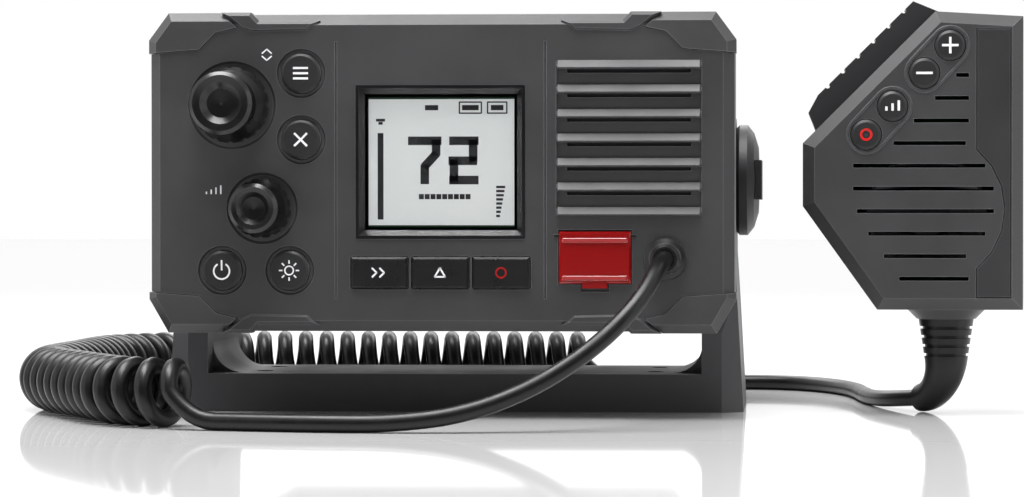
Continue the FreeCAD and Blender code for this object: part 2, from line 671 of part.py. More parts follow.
def gland():
    """The ringed bush that holds the cord where it leaves the face, with a sleeve round the cord's first stretch."""
    bore = CORD_D / 2 + GLAND_CLEARANCE
    profile = [
        (0, GLAND_CORE_Y),
        (bore, GLAND_CORE_Y),
        (bore, FACE_Y - GLAND_REACH),
        (CORD_D / 2 + 1.0, FACE_Y - GLAND_REACH),
        (CORD_D / 2 + 1.9, FACE_Y - 5.0),
        (GLAND_R - 1.6, FACE_Y - 3.4),
        (GLAND_R - 0.4, FACE_Y - 2.8),
        (GLAND_R, FACE_Y - 1.4),
        (GLAND_R, FACE_Y),
        (GLAND_NECK_R, FACE_Y),
        (GLAND_NECK_R, PANEL_BACK_Y + 1.5),
        (0, PANEL_BACK_Y + 1.5),
    ]
    save("cord_gland", turned_y(profile, GLAND_X, GLAND_Z))


def behind_panel(y0, y1):
    """A plate that fills the left and middle pockets of the front."""
    left, right, below, above = FRONT_POCKETS[0]
    plate = block(left, right, y0, y1, FACE_BOTTOM_Z + below, FACE_TOP_Z - above)
    left, right, below, above = FRONT_POCKETS[2]
    return plate.fuse(block(left, right, y0, y1, FACE_BOTTOM_Z + below, FACE_TOP_Z - above)).removeSplitter()


def inner_parts():
    """What the front holds behind its panel: key mat, board, speaker and its mesh."""
    mat = behind_panel(KEY_MAT_Y, BOARD_Y)
    half = SCREEN_WIDTH / 2 + 1.9
    tall = SCREEN_HEIGHT / 2 + 2.1
    mat = mat.cut(block(-half, half, KEY_MAT_Y - 1, BOARD_Y + 1, SCREEN_Z - tall, SCREEN_Z + tall))
    for x, z in ((CHANNEL_X, CHANNEL_Z), (VOLUME_X, VOLUME_Z)):
        mat = mat.cut(block(x - 6.5, x + 6.5, KEY_MAT_Y - 1, BOARD_Y + 1, z - 6.5, z + 6.5))
    save("key_mat", mat)
    save("front_board", behind_panel(BOARD_Y, BOARD_Y + BOARD_THICKNESS))
    speaker_x = (GRILLE_X0 + GRILLE_X1) / 2
    speaker_z = GRILLE_TOP_Z - 3 * GRILLE_PITCH
    save("speaker_mesh", block(GRILLE_X0 - 0.5, GRILLE_X1 + 0.5, PANEL_BACK_Y, PANEL_BACK_Y + 0.5,
                               GRILLE_TOP_Z - 5.8 * GRILLE_PITCH, GRILLE_TOP_Z + 1))
    basket = [(0, 3.6), (9, 3.6), (19, 0), (20.5, 0), (20.5, 0.8), (11, 4.5), (11, 9.5), (0, 9.5)]
    front_y = PANEL_BACK_Y + 0.5
    save("speaker", turned_y([(r, front_y + y) for r, y in basket], speaker_x, speaker_z))


def chassis():
    """The cast rear case: an open-fronted box with side bosses, upright fins and three sockets' holes."""
    outline = chassis_outline()
    inner_back_y = CHASSIS_BACK_Y - CHASSIS_REAR_WALL
    case = prism_y(outline, CHASSIS_FRONT_Y, CHASSIS_BACK_Y)
    case = case.cut(prism_y(inset(outline, CHASSIS_WALL), CHASSIS_FRONT_Y - 1, inner_back_y))
    high = FACE_MID_Z + CHASSIS_HEIGHT / 2
    span = CHASSIS_WIDTH - 2 * CHASSIS_CORNER - 4
    for index in range(FIN_COUNT):
        x = -span / 2 + span * index / (FIN_COUNT - 1)
        profile = [(CHASSIS_BACK_Y - 0.5, FIN_FOOT_Z), (FIN_BACK_Y - 4, FIN_FOOT_Z), (FIN_BACK_Y, FIN_FOOT_Z + 5),
                   (FIN_BACK_Y, high - 6), (FIN_BACK_Y - 3, high - 2), (CHASSIS_BACK_Y - 0.5, high - 2)]
        points = [V(x - FIN_THICKNESS / 2, y, z) for y, z in profile]
        case = case.fuse(Part.Face(Part.makePolygon(points + points[:1])).extrude(V(FIN_THICKNESS, 0, 0)))
    floor_z = FACE_MID_Z - CHASSIS_HEIGHT / 2 + CHASSIS_WALL
    for x in (-52, 52):
        for y in (CHASSIS_FRONT_Y + 14, inner_back_y - 12):
            case = case.fuse(disc_z(x, y, 3.5, floor_z - 1, MAIN_BOARD_Z))
    for side in (-1, 1):
        x0, x1 = sorted((side * (WASHER_INNER_X - STUD_DEPTH_IN_CHASSIS - 2), side * (WASHER_INNER_X - 1)))
        case = case.fuse(disc_x(x0, x1, 0, TILT_AXIS_Z, 7.5))
    for side in (-1, 1):
        x0, x1 = sorted((side * (WASHER_INNER_X - STUD_DEPTH_IN_CHASSIS), side * (WASHER_INNER_X + 1)))
        case = case.cut(disc_x(x0, x1, 0, TILT_AXIS_Z, STUD_R + RUNNING_GAP))
    for x, radius in SOCKETS.values():
        case = case.cut(disc_y(x, SOCKET_Z, radius, inner_back_y - 1, CHASSIS_BACK_Y + 1))
    for x, z in CASE_SCREW_PLACES:
        case = case.cut(disc_y(x, z, 1.65, CHASSIS_BACK_Y - 4.2, CHASSIS_BACK_Y + 1))
    save("rear_case", case.removeSplitter())
    seal = prism_y(inset(outline, 0.4), BEZEL_BACK_Y, CHASSIS_FRONT_Y)
    save("case_seal", seal.cut(prism_y(inset(outline, 2.6), BEZEL_BACK_Y - 1, CHASSIS_FRONT_Y + 1)))


def rear_screws(name, places, seat_y):
    """Pan-headed screws in a rear face, each with a cross in its head."""
    screws = []
    for x, z in places:
        head = [(0, -4.0), (1.6, -4.0), (1.6, 0), (2.8, 0), (2.8, 0.9), (2.0, 1.6), (0, 1.7)]
        screw = turned_y([(r, seat_y + y) for r, y in head], x, z)
        screw = screw.cut(block(x - 1.5, x + 1.5, seat_y + 0.9, seat_y + 2, z - 0.3, z + 0.3))
        screw = screw.cut(block(x - 0.3, x + 0.3, seat_y + 0.9, seat_y + 2, z - 1.5, z + 1.5))
        screws.append(screw)
    save(name, Part.makeCompound(screws))


def sockets():
    """The three round sockets under the fins: a shell, a flange and a centre contact."""
    back_y = CHASSIS_BACK_Y
    for name, (x, r) in SOCKETS.items():
        profile = [(0, back_y - 4.5), (r, back_y - 4.5), (r, back_y), (r + 2.5, back_y), (r + 2.5, back_y + 2),
                   (r, back_y + 2.6), (r, back_y + 11), (r - 1.4, back_y + 11.6), (r - 1.4, back_y + 3),
                   (2.0, back_y + 3), (2.0, back_y + 8), (1.4, back_y + 9), (0, back_y + 9)]
        save(name, turned_y(profile, x, SOCKET_Z))


def case_boards():
    """The main board on its posts in the case and the shielded transmitter on it."""
    y0 = CHASSIS_FRONT_Y + 6
    y1 = CHASSIS_BACK_Y - CHASSIS_REAR_WALL
    half = CHASSIS_WIDTH / 2 - CHASSIS_WALL
    top = MAIN_BOARD_Z + BOARD_THICKNESS
    save("main_board", block(-half, half, y0, y1, MAIN_BOARD_Z, top))
    save("transmitter_shield", block(-half + 20, 2, y0 + 8, y1 - 8, top, top + 11.4))


def arm_outline(side):
    """One arm of the bracket from the front: the outer face slopes in towards the top."""
    top = TILT_AXIS_Z + ARM_ROUND_RISE + 1
    outline = [(ARM_INNER_X, 0), (ARM_BASE_OUTER_X, 0), (ARM_TOP_OUTER_X, TILT_AXIS_Z - 22), (ARM_TOP_OUTER_X, top),
               (ARM_INNER_X, top)]
    return outline if side > 0 else mirrored(outline)


def arm_slab():
    """Both arms from the side: wide at the base, narrower and rounded at the tilt axis."""
    half = ARM_TOP_DEPTH / 2
    low = [V(-100, half, TILT_AXIS_Z), V(-100, BASE_BACK_Y, 24), V(-100, BASE_BACK_Y, 0), V(-100, BASE_FRONT_Y, 0),
           V(-100, BASE_FRONT_Y, 24), V(-100, -half, TILT_AXIS_Z)]
    edges = [Part.makeLine(low[i], low[i + 1]) for i in range(len(low) - 1)]
    edges.append(Part.Arc(low[-1], V(-100, 0, TILT_AXIS_Z + half), low[0]).toShape())
    return Part.Face(Part.Wire(edges)).extrude(V(200, 0, 0))


def gimbal_bracket():
    """The U-shaped bracket: a hollow base with four screw holes and two arms that the radio tilts between."""
    slab = arm_slab()
    bracket = block(-ARM_INNER_X - 1, ARM_INNER_X + 1, BASE_FRONT_Y, BASE_BACK_Y, 0, BASE_HEIGHT)
    for side in (-1, 1):
        arm = prism_y(arm_outline(side), BASE_FRONT_Y - 1, BASE_BACK_Y + 1).common(slab)
        corner = [V(side * 79, BASE_FRONT_Y - 1, -1), V(side * 90, BASE_FRONT_Y - 1, -1),
                  V(side * 90, BASE_FRONT_Y + 6, -1)]
        arm = arm.cut(Part.Face(Part.makePolygon(corner + corner[:1])).extrude(V(0, 0, 130)))
        bracket = bracket.fuse(arm)
        x0, x1 = sorted((side * (ARM_INNER_X - ARM_FOOT_RADIUS), side * (ARM_INNER_X + 0.5)))
        web = block(x0, x1, BASE_FRONT_Y + 8, BASE_BACK_Y - 4, BASE_HEIGHT - 0.5, BASE_HEIGHT + ARM_FOOT_RADIUS)
        hollow = V(side * (ARM_INNER_X - ARM_FOOT_RADIUS), -50, BASE_HEIGHT + ARM_FOOT_RADIUS)
        bracket = bracket.fuse(web.cut(Part.makeCylinder(ARM_FOOT_RADIUS, 100, hollow, V(0, 1, 0))))
    wall = BASE_POCKET_WALL
    middle_y = (BASE_FRONT_Y + BASE_BACK_Y) / 2
    for x in (-37.5, -12.5, 12.5, 37.5):
        for y0, y1 in ((BASE_FRONT_Y + wall, middle_y - wall / 2), (middle_y + wall / 2, BASE_BACK_Y - wall)):
            bracket = bracket.cut(block(x - 10.75, x + 10.75, y0, y1, -1, BASE_HEIGHT - wall))
    for side in (-1, 1):
        x0, x1 = sorted((side * (ARM_INNER_X - 1), side * (ARM_TOP_OUTER_X + 5)))
        bracket = bracket.cut(disc_x(x0, x1, 0, TILT_AXIS_Z, STUD_R + RUNNING_GAP))
        for y in (-SCREW_SPACING_Y / 2, SCREW_SPACING_Y / 2):
            x = side * SCREW_SPACING_X / 2
            bracket = bracket.cut(disc_z(x, y, SCREW_HOLE_R, -1, BASE_HEIGHT + 1))
    save("gimbal_bracket", bracket.removeSplitter())


def clamp_knobs():
    """The side knobs: a ribbed disc outside each arm, on a stud that screws into the case."""
    for side, name in ((-1, "left"), (1, "right")):
        inner = ARM_TOP_OUTER_X + FACE_GAP
        outer = inner + CLAMP_KNOB_REACH
        profile = [(0, inner), (CLAMP_KNOB_R - 1, inner), (CLAMP_KNOB_R, inner + 1), (CLAMP_KNOB_R, inner + 3.4),
                   (CLAMP_KNOB_R - 2.5, inner + 5.4), (CLAMP_KNOB_R - 7, outer - 1.0), (0, outer - 0.6)]
        head = turned_x([(r, side * x) for r, x in profile], 0, TILT_AXIS_Z)
        for index in range(7):
            y0 = -12 + index * 3.6
            x0, x1 = sorted((side * (inner + 2.4), side * outer))
            head = head.fuse(block(x0, x1, y0, y0 + 2.2, TILT_AXIS_Z - 6, TILT_AXIS_Z + 6).common(
                disc_x(x0, x1, 0, TILT_AXIS_Z, CLAMP_KNOB_R - 3)))
        s0, s1 = sorted((side * (WASHER_INNER_X - STUD_DEPTH_IN_CHASSIS + 1), side * (inner + 1)))
        save("clamp_knob_" + name, head.fuse(disc_x(s0, s1, 0, TILT_AXIS_Z, STUD_R)).removeSplitter())
        w0, w1 = sorted((side * WASHER_INNER_X, side * WASHER_OUTER_X))
        washer = disc_x(w0, w1, 0, TILT_AXIS_Z, WASHER_R)
        save("friction_washer_" + name, washer.cut(disc_x(w0 - 1, w1 + 1, 0, TILT_AXIS_Z, STUD_R + RUNNING_GAP)))


def band_outline():
    """The plain band down the microphone's right side, which gives way to the round speaker field."""
    reach = math.acos((BAND_X - BAND_FIELD_X) / BAND_FIELD_R)
    points = [(BAND_X, 114.0)]
    for index in range(7):
        angle = reach * (1 - index / 3)
        points.append((BAND_FIELD_X + BAND_FIELD_R * math.cos(angle), BAND_FIELD_Z + BAND_FIELD_R * math.sin(angle)))
    return points + [(BAND_X, 34.9), (BAND_RIGHT_X, 34.9), (BAND_RIGHT_X, 114.0)]


def talk_key_outline():
    """The long talk key on the sloping shoulder, with its inner edge TALK_DEPTH inside the shell."""
    across = SHOULDER_IN_X * TALK_DEPTH
    down = SHOULDER_IN_Z * TALK_DEPTH
    return [(108.0 + across, 83.7 + down), (141.5 + across, 117.0 + down), (145.5, 119.6), (137.5, 122.9), (109.2, 95.0),
            (106.4, 89.8)]


def talk_slot_outline():
    """The room that the talk key takes as it is pressed, with a gap all round."""
    rest = talk_key_outline()
    pressed = [(x + SHOULDER_IN_X * TALK_ROOM, z + SHOULDER_IN_Z * TALK_ROOM) for x, z in rest]
    return inset([rest[0], pressed[0], pressed[1], pressed[2], rest[2], rest[3], rest[4], rest[5]], -TALK_GAP)


def mic_front():
    """The microphone's front shell, with its keys' holes and the slots over its speaker."""
    shell = bevelled_y(MIC_OUTLINE, MIC_FRONT_Y, MIC_MID_Y, MIC_BEVEL, MIC_BEVEL_DEPTH)
    shell = shell.cut(prism_y(inset(MIC_OUTLINE, MIC_FRONT_INSET), MIC_FRONT_Y + MIC_WALL, MIC_MID_Y + 1))
    for x0, x1, z in MIC_SLOTS:
        shell = shell.cut(block(x0, x1, MIC_FRONT_Y - 1, MIC_FRONT_Y + MIC_WALL + 1, z - MIC_SLOT_HEIGHT / 2,
                                z + MIC_SLOT_HEIGHT / 2))
    for x, z in MIC_KEY_PLACES.values():
        shell = shell.cut(disc_y(x, z, MIC_KEY_R + KEY_GAP, MIC_FRONT_Y - 1, MIC_FRONT_Y + MIC_WALL + 1))
    shell = shell.cut(prism_y(band_outline(), MIC_FRONT_Y - 1, MIC_FRONT_Y + BAND_THICKNESS))
    save("mic_front_shell", shell.removeSplitter())
    band = bevelled_y(inset(band_outline(), 0.15), MIC_FRONT_Y - 0.2, MIC_FRONT_Y + BAND_THICKNESS, 0.3, 0.4)
    save("mic_side_band", band)


def mic_rear():
    """The microphone's rear shell with the talk key's slot, the seal, the talk key and the hanging stud."""
    seal = prism_y(inset(MIC_OUTLINE, 0.6), MIC_MID_Y, MIC_REAR_FRONT_Y)
    save("mic_seal", seal.cut(prism_y(inset(MIC_OUTLINE, 3.0), MIC_MID_Y - 1, MIC_REAR_FRONT_Y + 1)))
    slot_back_y = MIC_BACK_Y - MIC_REAR_SLOPE
    rings = [[V(x, MIC_REAR_FRONT_Y, z) for x, z in MIC_OUTLINE],
             [V(x, slot_back_y, z) for x, z in MIC_OUTLINE],
             [V(x, MIC_BACK_Y, z) for x, z in inset(MIC_OUTLINE, 5.5)]]
    rear = Part.makeLoft([Part.makePolygon(r + r[:1]) for r in rings], True, True)
    rear = rear.cut(prism_y(inset(MIC_OUTLINE, MIC_REAR_INSET), MIC_REAR_FRONT_Y - 1, MIC_BACK_Y - MIC_WALL))
    rear = rear.cut(prism_y(talk_slot_outline(), MIC_REAR_FRONT_Y - 1, slot_back_y))
    for x, z in MIC_SCREW_PLACES:
        rear = rear.cut(disc_y(x, z, 1.65, MIC_BACK_Y - 4.2, MIC_BACK_Y + 1))
    save("mic_rear_shell", rear.removeSplitter())
    profile = [(0, 0), (4.0, 0), (4.0, 4.5), (8.0, 5.5), (8.0, 7.0), (6.6, 8.0), (0, 8.0)]
    save("mic_hang_stud", turned_y([(r, MIC_BACK_Y + y) for r, y in profile], HANG_STUD_X, HANG_STUD_Z))
    talk = prism_y(talk_key_outline(), MIC_REAR_FRONT_Y + TALK_GAP, slot_back_y - TALK_GAP)
    for index in range(6):
        share = 0.1 + index * 0.16
        talk = talk.cut(disc_y(109.2 + 28.3 * share, 95.0 + 27.9 * share, 0.8, MIC_REAR_FRONT_Y - 2, MIC_BACK_Y))
    save("talk_key", talk)


def mic_inner():
    """The microphone's keys, speaker, capsule and board."""
    lip_y = MIC_FRONT_Y + MIC_WALL
    board_y = MIC_MID_Y - 4.1
    for name, (x, z) in MIC_KEY_PLACES.items():
        profile = [(0, MIC_FRONT_Y - 0.6), (MIC_KEY_R - 0.8, MIC_FRONT_Y - 0.9), (MIC_KEY_R, MIC_FRONT_Y - 0.3),
                   (MIC_KEY_R, lip_y), (MIC_KEY_R + 0.6, lip_y), (MIC_KEY_R + 0.6, lip_y + 0.8), (0, lip_y + 0.8)]
        save(name, turned_y(profile, x, z))
    basket = [(0, 2.4), (7, 2.4), (16.5, 0), (17.5, 0), (17.5, 0.8), (8, 3),
              (8, board_y - lip_y), (0, board_y - lip_y)]
    save("mic_speaker", turned_y([(r, lip_y + y) for r, y in basket], MIC_SPEAKER_X, MIC_SPEAKER_Z))
    board = prism_y(inset(MIC_OUTLINE, MIC_FRONT_INSET), board_y, board_y + BOARD_THICKNESS)
    save("mic_board", board.common(block(122, 168, board_y - 1, board_y + 3, 30, 120)))
    save("mic_capsule", disc_y(MIC_CAPSULE_X, MIC_CAPSULE_Z, 2.6, lip_y, lip_y + 4))


def mic_boot():
    """The collar under the microphone and the tapered, bent boot that holds its cord."""
    low = MIC_OUTLINE[1][1]
    save("mic_collar", turned_z([(0, low), (11.8, low), (8.8, low - 3.0), (0, low - 3.0)], BOOT_X, BOOT_Y))
    top = V(BOOT_X, BOOT_Y, low - 3.0)
    elbow = V(BOOT_X, BOOT_Y, BOOT_ELBOW_Z)
    down = V(0, 0, -1)
    bend = Part.Arc(elbow, arc_middle(elbow, down, BOOT_TIP), BOOT_TIP).toShape()
    way = bend.tangentAt(bend.LastParameter)
    if (BOOT_TIP - elbow).dot(way) < 0:
        way = way * -1
    shell = Part.BRepOffsetAPI.MakePipeShell(Part.Wire([Part.makeLine(top, elbow), bend]))
    shell.add(ring_at(top, down, BOOT_TOP_R))
    shell.add(ring_at(BOOT_TIP, way, BOOT_TIP_R))
    shell.build()
    shell.makeSolid()
    boot = shell.shape()
    taper = (BOOT_TOP_R - BOOT_TIP_R) / (top.z - elbow.z + bend.Length)
    for index in range(BOOT_GROOVES):
        below_top = BOOT_GROOVE_PITCH * (index + 0.8)
        groove_top = top.z - below_top
        ring = disc_z(BOOT_X, BOOT_Y, BOOT_TOP_R + 2, groove_top - BOOT_GROOVE, groove_top)
        core_r = BOOT_TOP_R - taper * below_top - BOOT_GROOVE
        boot = boot.cut(ring.cut(disc_z(BOOT_X, BOOT_Y, core_r, groove_top - BOOT_GROOVE - 1, groove_top + 1)))
    save("mic_boot", boot)


def coil_place(distance):
    """The middle point of the curls and the heading at a distance along their line, behind, round and in front."""
    x = COIL_START.x
    y = COIL_START.y
    heading = math.pi
    left = distance
    for length, radius in COIL_PIECES:
        part = min(length, left)
        if radius is None:
            x += part * math.cos(heading)
            y += part * math.sin(heading)
        else:
            turn = part / radius
            x += radius * (math.sin(heading + turn) - math.sin(heading))
            y -= radius * (math.cos(heading + turn) - math.cos(heading))
            heading += turn
        left -= part
        if left <= 0:
            break
    return V(x, y, COIL_Z), heading


def curl_point(distance):
    """A point of the wound wire. It goes left-handed round the middle line, from its inner side at the start."""
    place, heading = coil_place(distance)
    outward = V(math.sin(heading), -math.cos(heading), 0)
    angle = math.pi - 2 * math.pi * CURL_TURNS * distance / COIL_LENGTH
    return place + outward * (CURL_R * math.cos(angle)) + V(0, 0, CURL_R * math.sin(angle))


def curl_way(distance):
    step = 0.01
    return (curl_point(distance + step) - curl_point(distance - step)).normalize()


def heading_way(distance):
    heading = coil_place(distance)[1]
    return V(math.cos(heading), math.sin(heading), 0)


def least_gap(points, skip):
    """The least gap of the wire to itself, between points along it that are more than skip apart in order."""
    least = 1e9
    for i in range(0, len(points), 2):
        for j in range(i + skip, min(len(points), i + 6 * skip)):
            least = min(least, points[i].distanceToPoint(points[j]))
    return least - CORD_D


def curly_cord():
    """The wound part of the cord: one unbroken wire, with each end brought down to run straight along the floor."""
    rest_z = CORD_D / 2
    start_way = heading_way(0)
    end_way = heading_way(COIL_LENGTH)
    first = curl_point(0)
    last = curl_point(COIL_LENGTH)
    entry = V(first.x, first.y, rest_z) - start_way * CURL_RUN_OUT
    leave = V(last.x, last.y, rest_z) + end_way * CURL_RUN_OUT
    start = entry - start_way * CORD_D
    end = leave + end_way * CORD_D
    edges = [Part.makeLine(start, entry)]
    edges += biarc(entry, start_way, first, curl_way(0))
    halves = int(CURL_TURNS * 2)
    knots = [COIL_LENGTH * i / halves for i in range(halves + 1)]
    for a, b in zip(knots, knots[1:]):
        edges += biarc(curl_point(a), curl_way(a), curl_point(b), curl_way(b))
    edges += biarc(last, curl_way(COIL_LENGTH), leave, end_way)
    edges.append(Part.makeLine(leave, end))
    samples = []
    for edge in edges:
        for i in range(6):
            samples.append(edge.valueAt(edge.FirstParameter + (edge.LastParameter - edge.FirstParameter) * i / 6))
    length = sum(e.Length for e in edges)
    wire = swept(edges, polygon_at(start, start_way, CORD_D / 2, CURL_SIDES))
    section = CURL_SIDES / 2 * math.sin(2 * math.pi / CURL_SIDES) * (CORD_D / 2) ** 2
    print("curls", CURL_TURNS, "length of wire", round(length, 1),
          "least gap to itself", round(least_gap(samples, 14), 2))
    print("curls: volume over section times length", round(wire.Volume / section / length, 4))
    print("curls from", start, "to", end, "heading", round(math.degrees(coil_place(COIL_LENGTH)[1]), 2))
    save("curly_cord", wire)
    return start, end


def leads(curl_start, curl_end):
    """The plain stretches of the cord: from the gland to the curls, and from the boot to the curls."""
    before_curls = curl_end + heading_way(COIL_LENGTH) * LAST_LEG
    front = [V(x, y, z) for x, y, z in FRONT_LEAD_ROUTE] + [before_curls, curl_end]
    back = [BOOT_TIP] + [V(x, y, z) for x, y, z in MIC_LEAD_ROUTE] + [curl_start]
    for name, points in (("front_lead", front), ("mic_lead", back)):
        edges = rounded_route(name, points)
        tube = swept(edges, ring_at(points[0], V(points[1] - points[0]).normalize(), CORD_D / 2))
        length = sum(e.Length for e in edges)
        expected = math.pi * CORD_D ** 2 / 4 * length
        print(name, "length", round(length, 1), "volume over section times length", round(tube.Volume / expected, 4))
        save(name, tube)


os.makedirs("parts", exist_ok=True)
front_bezel()
corner_caps()
screen_parts()
knob("channel_knob", CHANNEL_X, CHANNEL_Z, CHANNEL_R, CHANNEL_RIM_R, CHANNEL_LENGTH)
knob("volume_knob", VOLUME_X, VOLUME_Z, VOLUME_R, VOLUME_RIM_R, VOLUME_LENGTH)
encoders()
round_keys()
softkeys()
distress_parts()
gland()
inner_parts()
chassis()
rear_screws("case_screws", CASE_SCREW_PLACES, CHASSIS_BACK_Y)
sockets()
case_boards()
gimbal_bracket()
clamp_knobs()
mic_front()
mic_rear()
rear_screws("mic_screws", MIC_SCREW_PLACES, MIC_BACK_Y)
mic_inner()
mic_boot()
curl_start, curl_end = curly_cord()
leads(curl_start, curl_end)
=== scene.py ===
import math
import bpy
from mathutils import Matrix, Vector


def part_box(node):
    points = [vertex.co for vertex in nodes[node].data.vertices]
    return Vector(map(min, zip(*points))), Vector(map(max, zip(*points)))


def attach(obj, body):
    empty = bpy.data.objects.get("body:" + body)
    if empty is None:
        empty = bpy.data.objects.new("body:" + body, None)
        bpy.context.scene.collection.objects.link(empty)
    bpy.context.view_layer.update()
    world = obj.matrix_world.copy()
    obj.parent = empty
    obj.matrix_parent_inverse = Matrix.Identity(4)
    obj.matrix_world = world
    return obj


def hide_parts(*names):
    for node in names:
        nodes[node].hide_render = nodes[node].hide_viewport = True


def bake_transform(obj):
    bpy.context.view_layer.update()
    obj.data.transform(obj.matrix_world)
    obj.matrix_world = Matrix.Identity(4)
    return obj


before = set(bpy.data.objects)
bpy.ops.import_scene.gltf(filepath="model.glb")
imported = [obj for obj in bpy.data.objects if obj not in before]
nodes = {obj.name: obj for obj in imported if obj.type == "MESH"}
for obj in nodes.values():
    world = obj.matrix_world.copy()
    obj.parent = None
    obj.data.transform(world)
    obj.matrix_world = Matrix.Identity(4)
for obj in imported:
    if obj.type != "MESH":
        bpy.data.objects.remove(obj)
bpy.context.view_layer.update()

# %% [markdown]
# # A marine radio, its bracket and its fist microphone
# The imported model brings every rigid piece in its right place. What is left to make here is what a moulding
# tool, a paint pad and gravity add: the grain of the plastic, the printed signs, the lit display and the
# cord.

MM = 0.001


def place_in_scene(name, data):
    """A new object with this mesh, curve, lamp or camera, put into the scene."""
    thing = bpy.data.objects.new(name, data)
    bpy.context.scene.collection.objects.link(thing)
    return thing


# %% [markdown]
# ## The camera
# The photograph looks almost straight at the face, from a little right of it, with a long lens. A long lens
# far away keeps the sides from showing too much. The camera is turned by some degrees and looks down by
# less than one, and a sideways shift puts the radio and the microphone where the photograph has them.

# %% Camera
CAMERA_PLACE = Vector((0.104, -0.965, 0.060))
CAMERA_TURN = 2.9
CAMERA_DIP = 0.66
LENS = 109.9
SENSOR_WIDTH = 36.0
SIDE_SHIFT = -0.127

camera_data = bpy.data.cameras.new("camera")
camera_data.sensor_width = SENSOR_WIDTH
camera_data.lens = LENS
camera_data.clip_start = 0.01
camera_data.shift_x = SIDE_SHIFT
camera = place_in_scene("camera", camera_data)
camera.location = CAMERA_PLACE
camera.rotation_euler = (math.radians(90 - CAMERA_DIP), 0, math.radians(CAMERA_TURN))
bpy.context.scene.camera = camera
print("camera at", tuple(round(c, 3) for c in CAMERA_PLACE), "with a lens of", LENS, "mm")

# %% [markdown]
# ## Colours and nodes
# Paint charts and web pages give colours as sRGB hex values, but shaders add light in linear values. One
# function turns one into the other. A second adds a shader node with its settings and links in one line,
# and a few small ones give the steps that most surfaces here share: noise, a stretch of its range, a mix of
# colours and a bump.

# %% Helpers for materials


def linear(hex_colour):
    """The linear colour of an sRGB hex value such as "4a4b4f"."""
    channels = []
    for start in (0, 2, 4):
        value = int(hex_colour[start:start + 2], 16) / 255
        channels.append(value / 12.92 if value <= 0.04045 else ((value + 0.055) / 1.055) ** 2.4)
    return (*channels, 1.0)


def add_node(material, kind, settings=None, **inputs):
    """A node of this kind. settings are its own properties, inputs are values or other nodes' sockets."""
    node = material.node_tree.nodes.new(kind)
    for name, value in (settings or {}).items():
        setattr(node, name, value)
    for name, value in inputs.items():
        socket = node.inputs[int(name[1:]) if name[0] == "_" else name.replace("_", " ")]
        if isinstance(value, bpy.types.NodeSocket):
            material.node_tree.links.new(value, socket)
        else:
            socket.default_value = value
    return node


def new_material(name, base, roughness, **surface):
    """A material with one principled shader, and its shader node."""
    material = bpy.data.materials.new(name)
    material.use_nodes = True
    shader = material.node_tree.nodes["Principled BSDF"]
    shader.inputs["Base Color"].default_value = linear(base)
    shader.inputs["Roughness"].default_value = roughness
    for key, value in surface.items():
        shader.inputs[key.replace("_", " ")].default_value = value
    return material, shader


def join(material, shader, **outputs):
    """Links other nodes' outputs to the shader's sockets."""
    for key, output in outputs.items():
        material.node_tree.links.new(output, shader.inputs[key.replace("_", " ")])


def own_place(material):
    """Coordinates in metres that stay with the piece as it moves."""
    return add_node(material, "ShaderNodeTexCoord").outputs["Object"]


def noise(material, place, size, detail, roughness=0.5):
    """A noise from 0 to 1, with spots of about this size in metres."""
    return add_node(material, "ShaderNodeTexNoise", Vector=place, Scale=1 / size, Detail=detail,
                    Roughness=roughness).outputs["Fac"]


def stretch(material, value, low, high, to_low=0.0, to_high=1.0):
    """A value stretched from the range low to high to another range."""
    return add_node(material, "ShaderNodeMapRange", Value=value, From_Min=low, From_Max=high, To_Min=to_low,
                    To_Max=to_high).outputs["Result"]


def mix(material, share, first, second):
    """A mix of two colours."""
    node = add_node(material, "ShaderNodeMix", {"data_type": "RGBA"}, _0=share, _6=first, _7=second)
    return node.outputs[2]


def bump(material, height, distance, strength):
    """The normal of a surface that this height makes uneven."""
    return add_node(material, "ShaderNodeBump", Height=height, Distance=distance,
                    Strength=strength).outputs["Normal"]


# %% [markdown]
# ## Moulded ABS with a spark-eroded grain
# The radio's front, the bracket and the microphone are ABS mouldings. The mould is spark-eroded, which
# leaves a fine pebbly grain of about a third of a millimetre. It breaks up the highlights, so the plastic
# looks soft and even. A fine noise drives the bump, and a coarse one a slight change of gloss and of colour
# from handling. The edges are painted a little lighter, a painted highlight along the edges, and a bevel
# node finds them without any extra geometry.

# %% Grained plastic
GRAIN = 0.35 * MM
FINE_GRAIN = 0.25 * MM
GRAIN_HEIGHT = 0.05 * MM
CLOUD = 26 * MM
CLOUD_TINT = 0.05
# Width and strength of the painted highlight that lightens the edges.
EDGE_HIGHLIGHT_WIDTH = 0.35 * MM
EDGE_HIGHLIGHT_MOST = 0.85
FLAT_COSINE = 0.995
EDGE_COSINE = 0.86


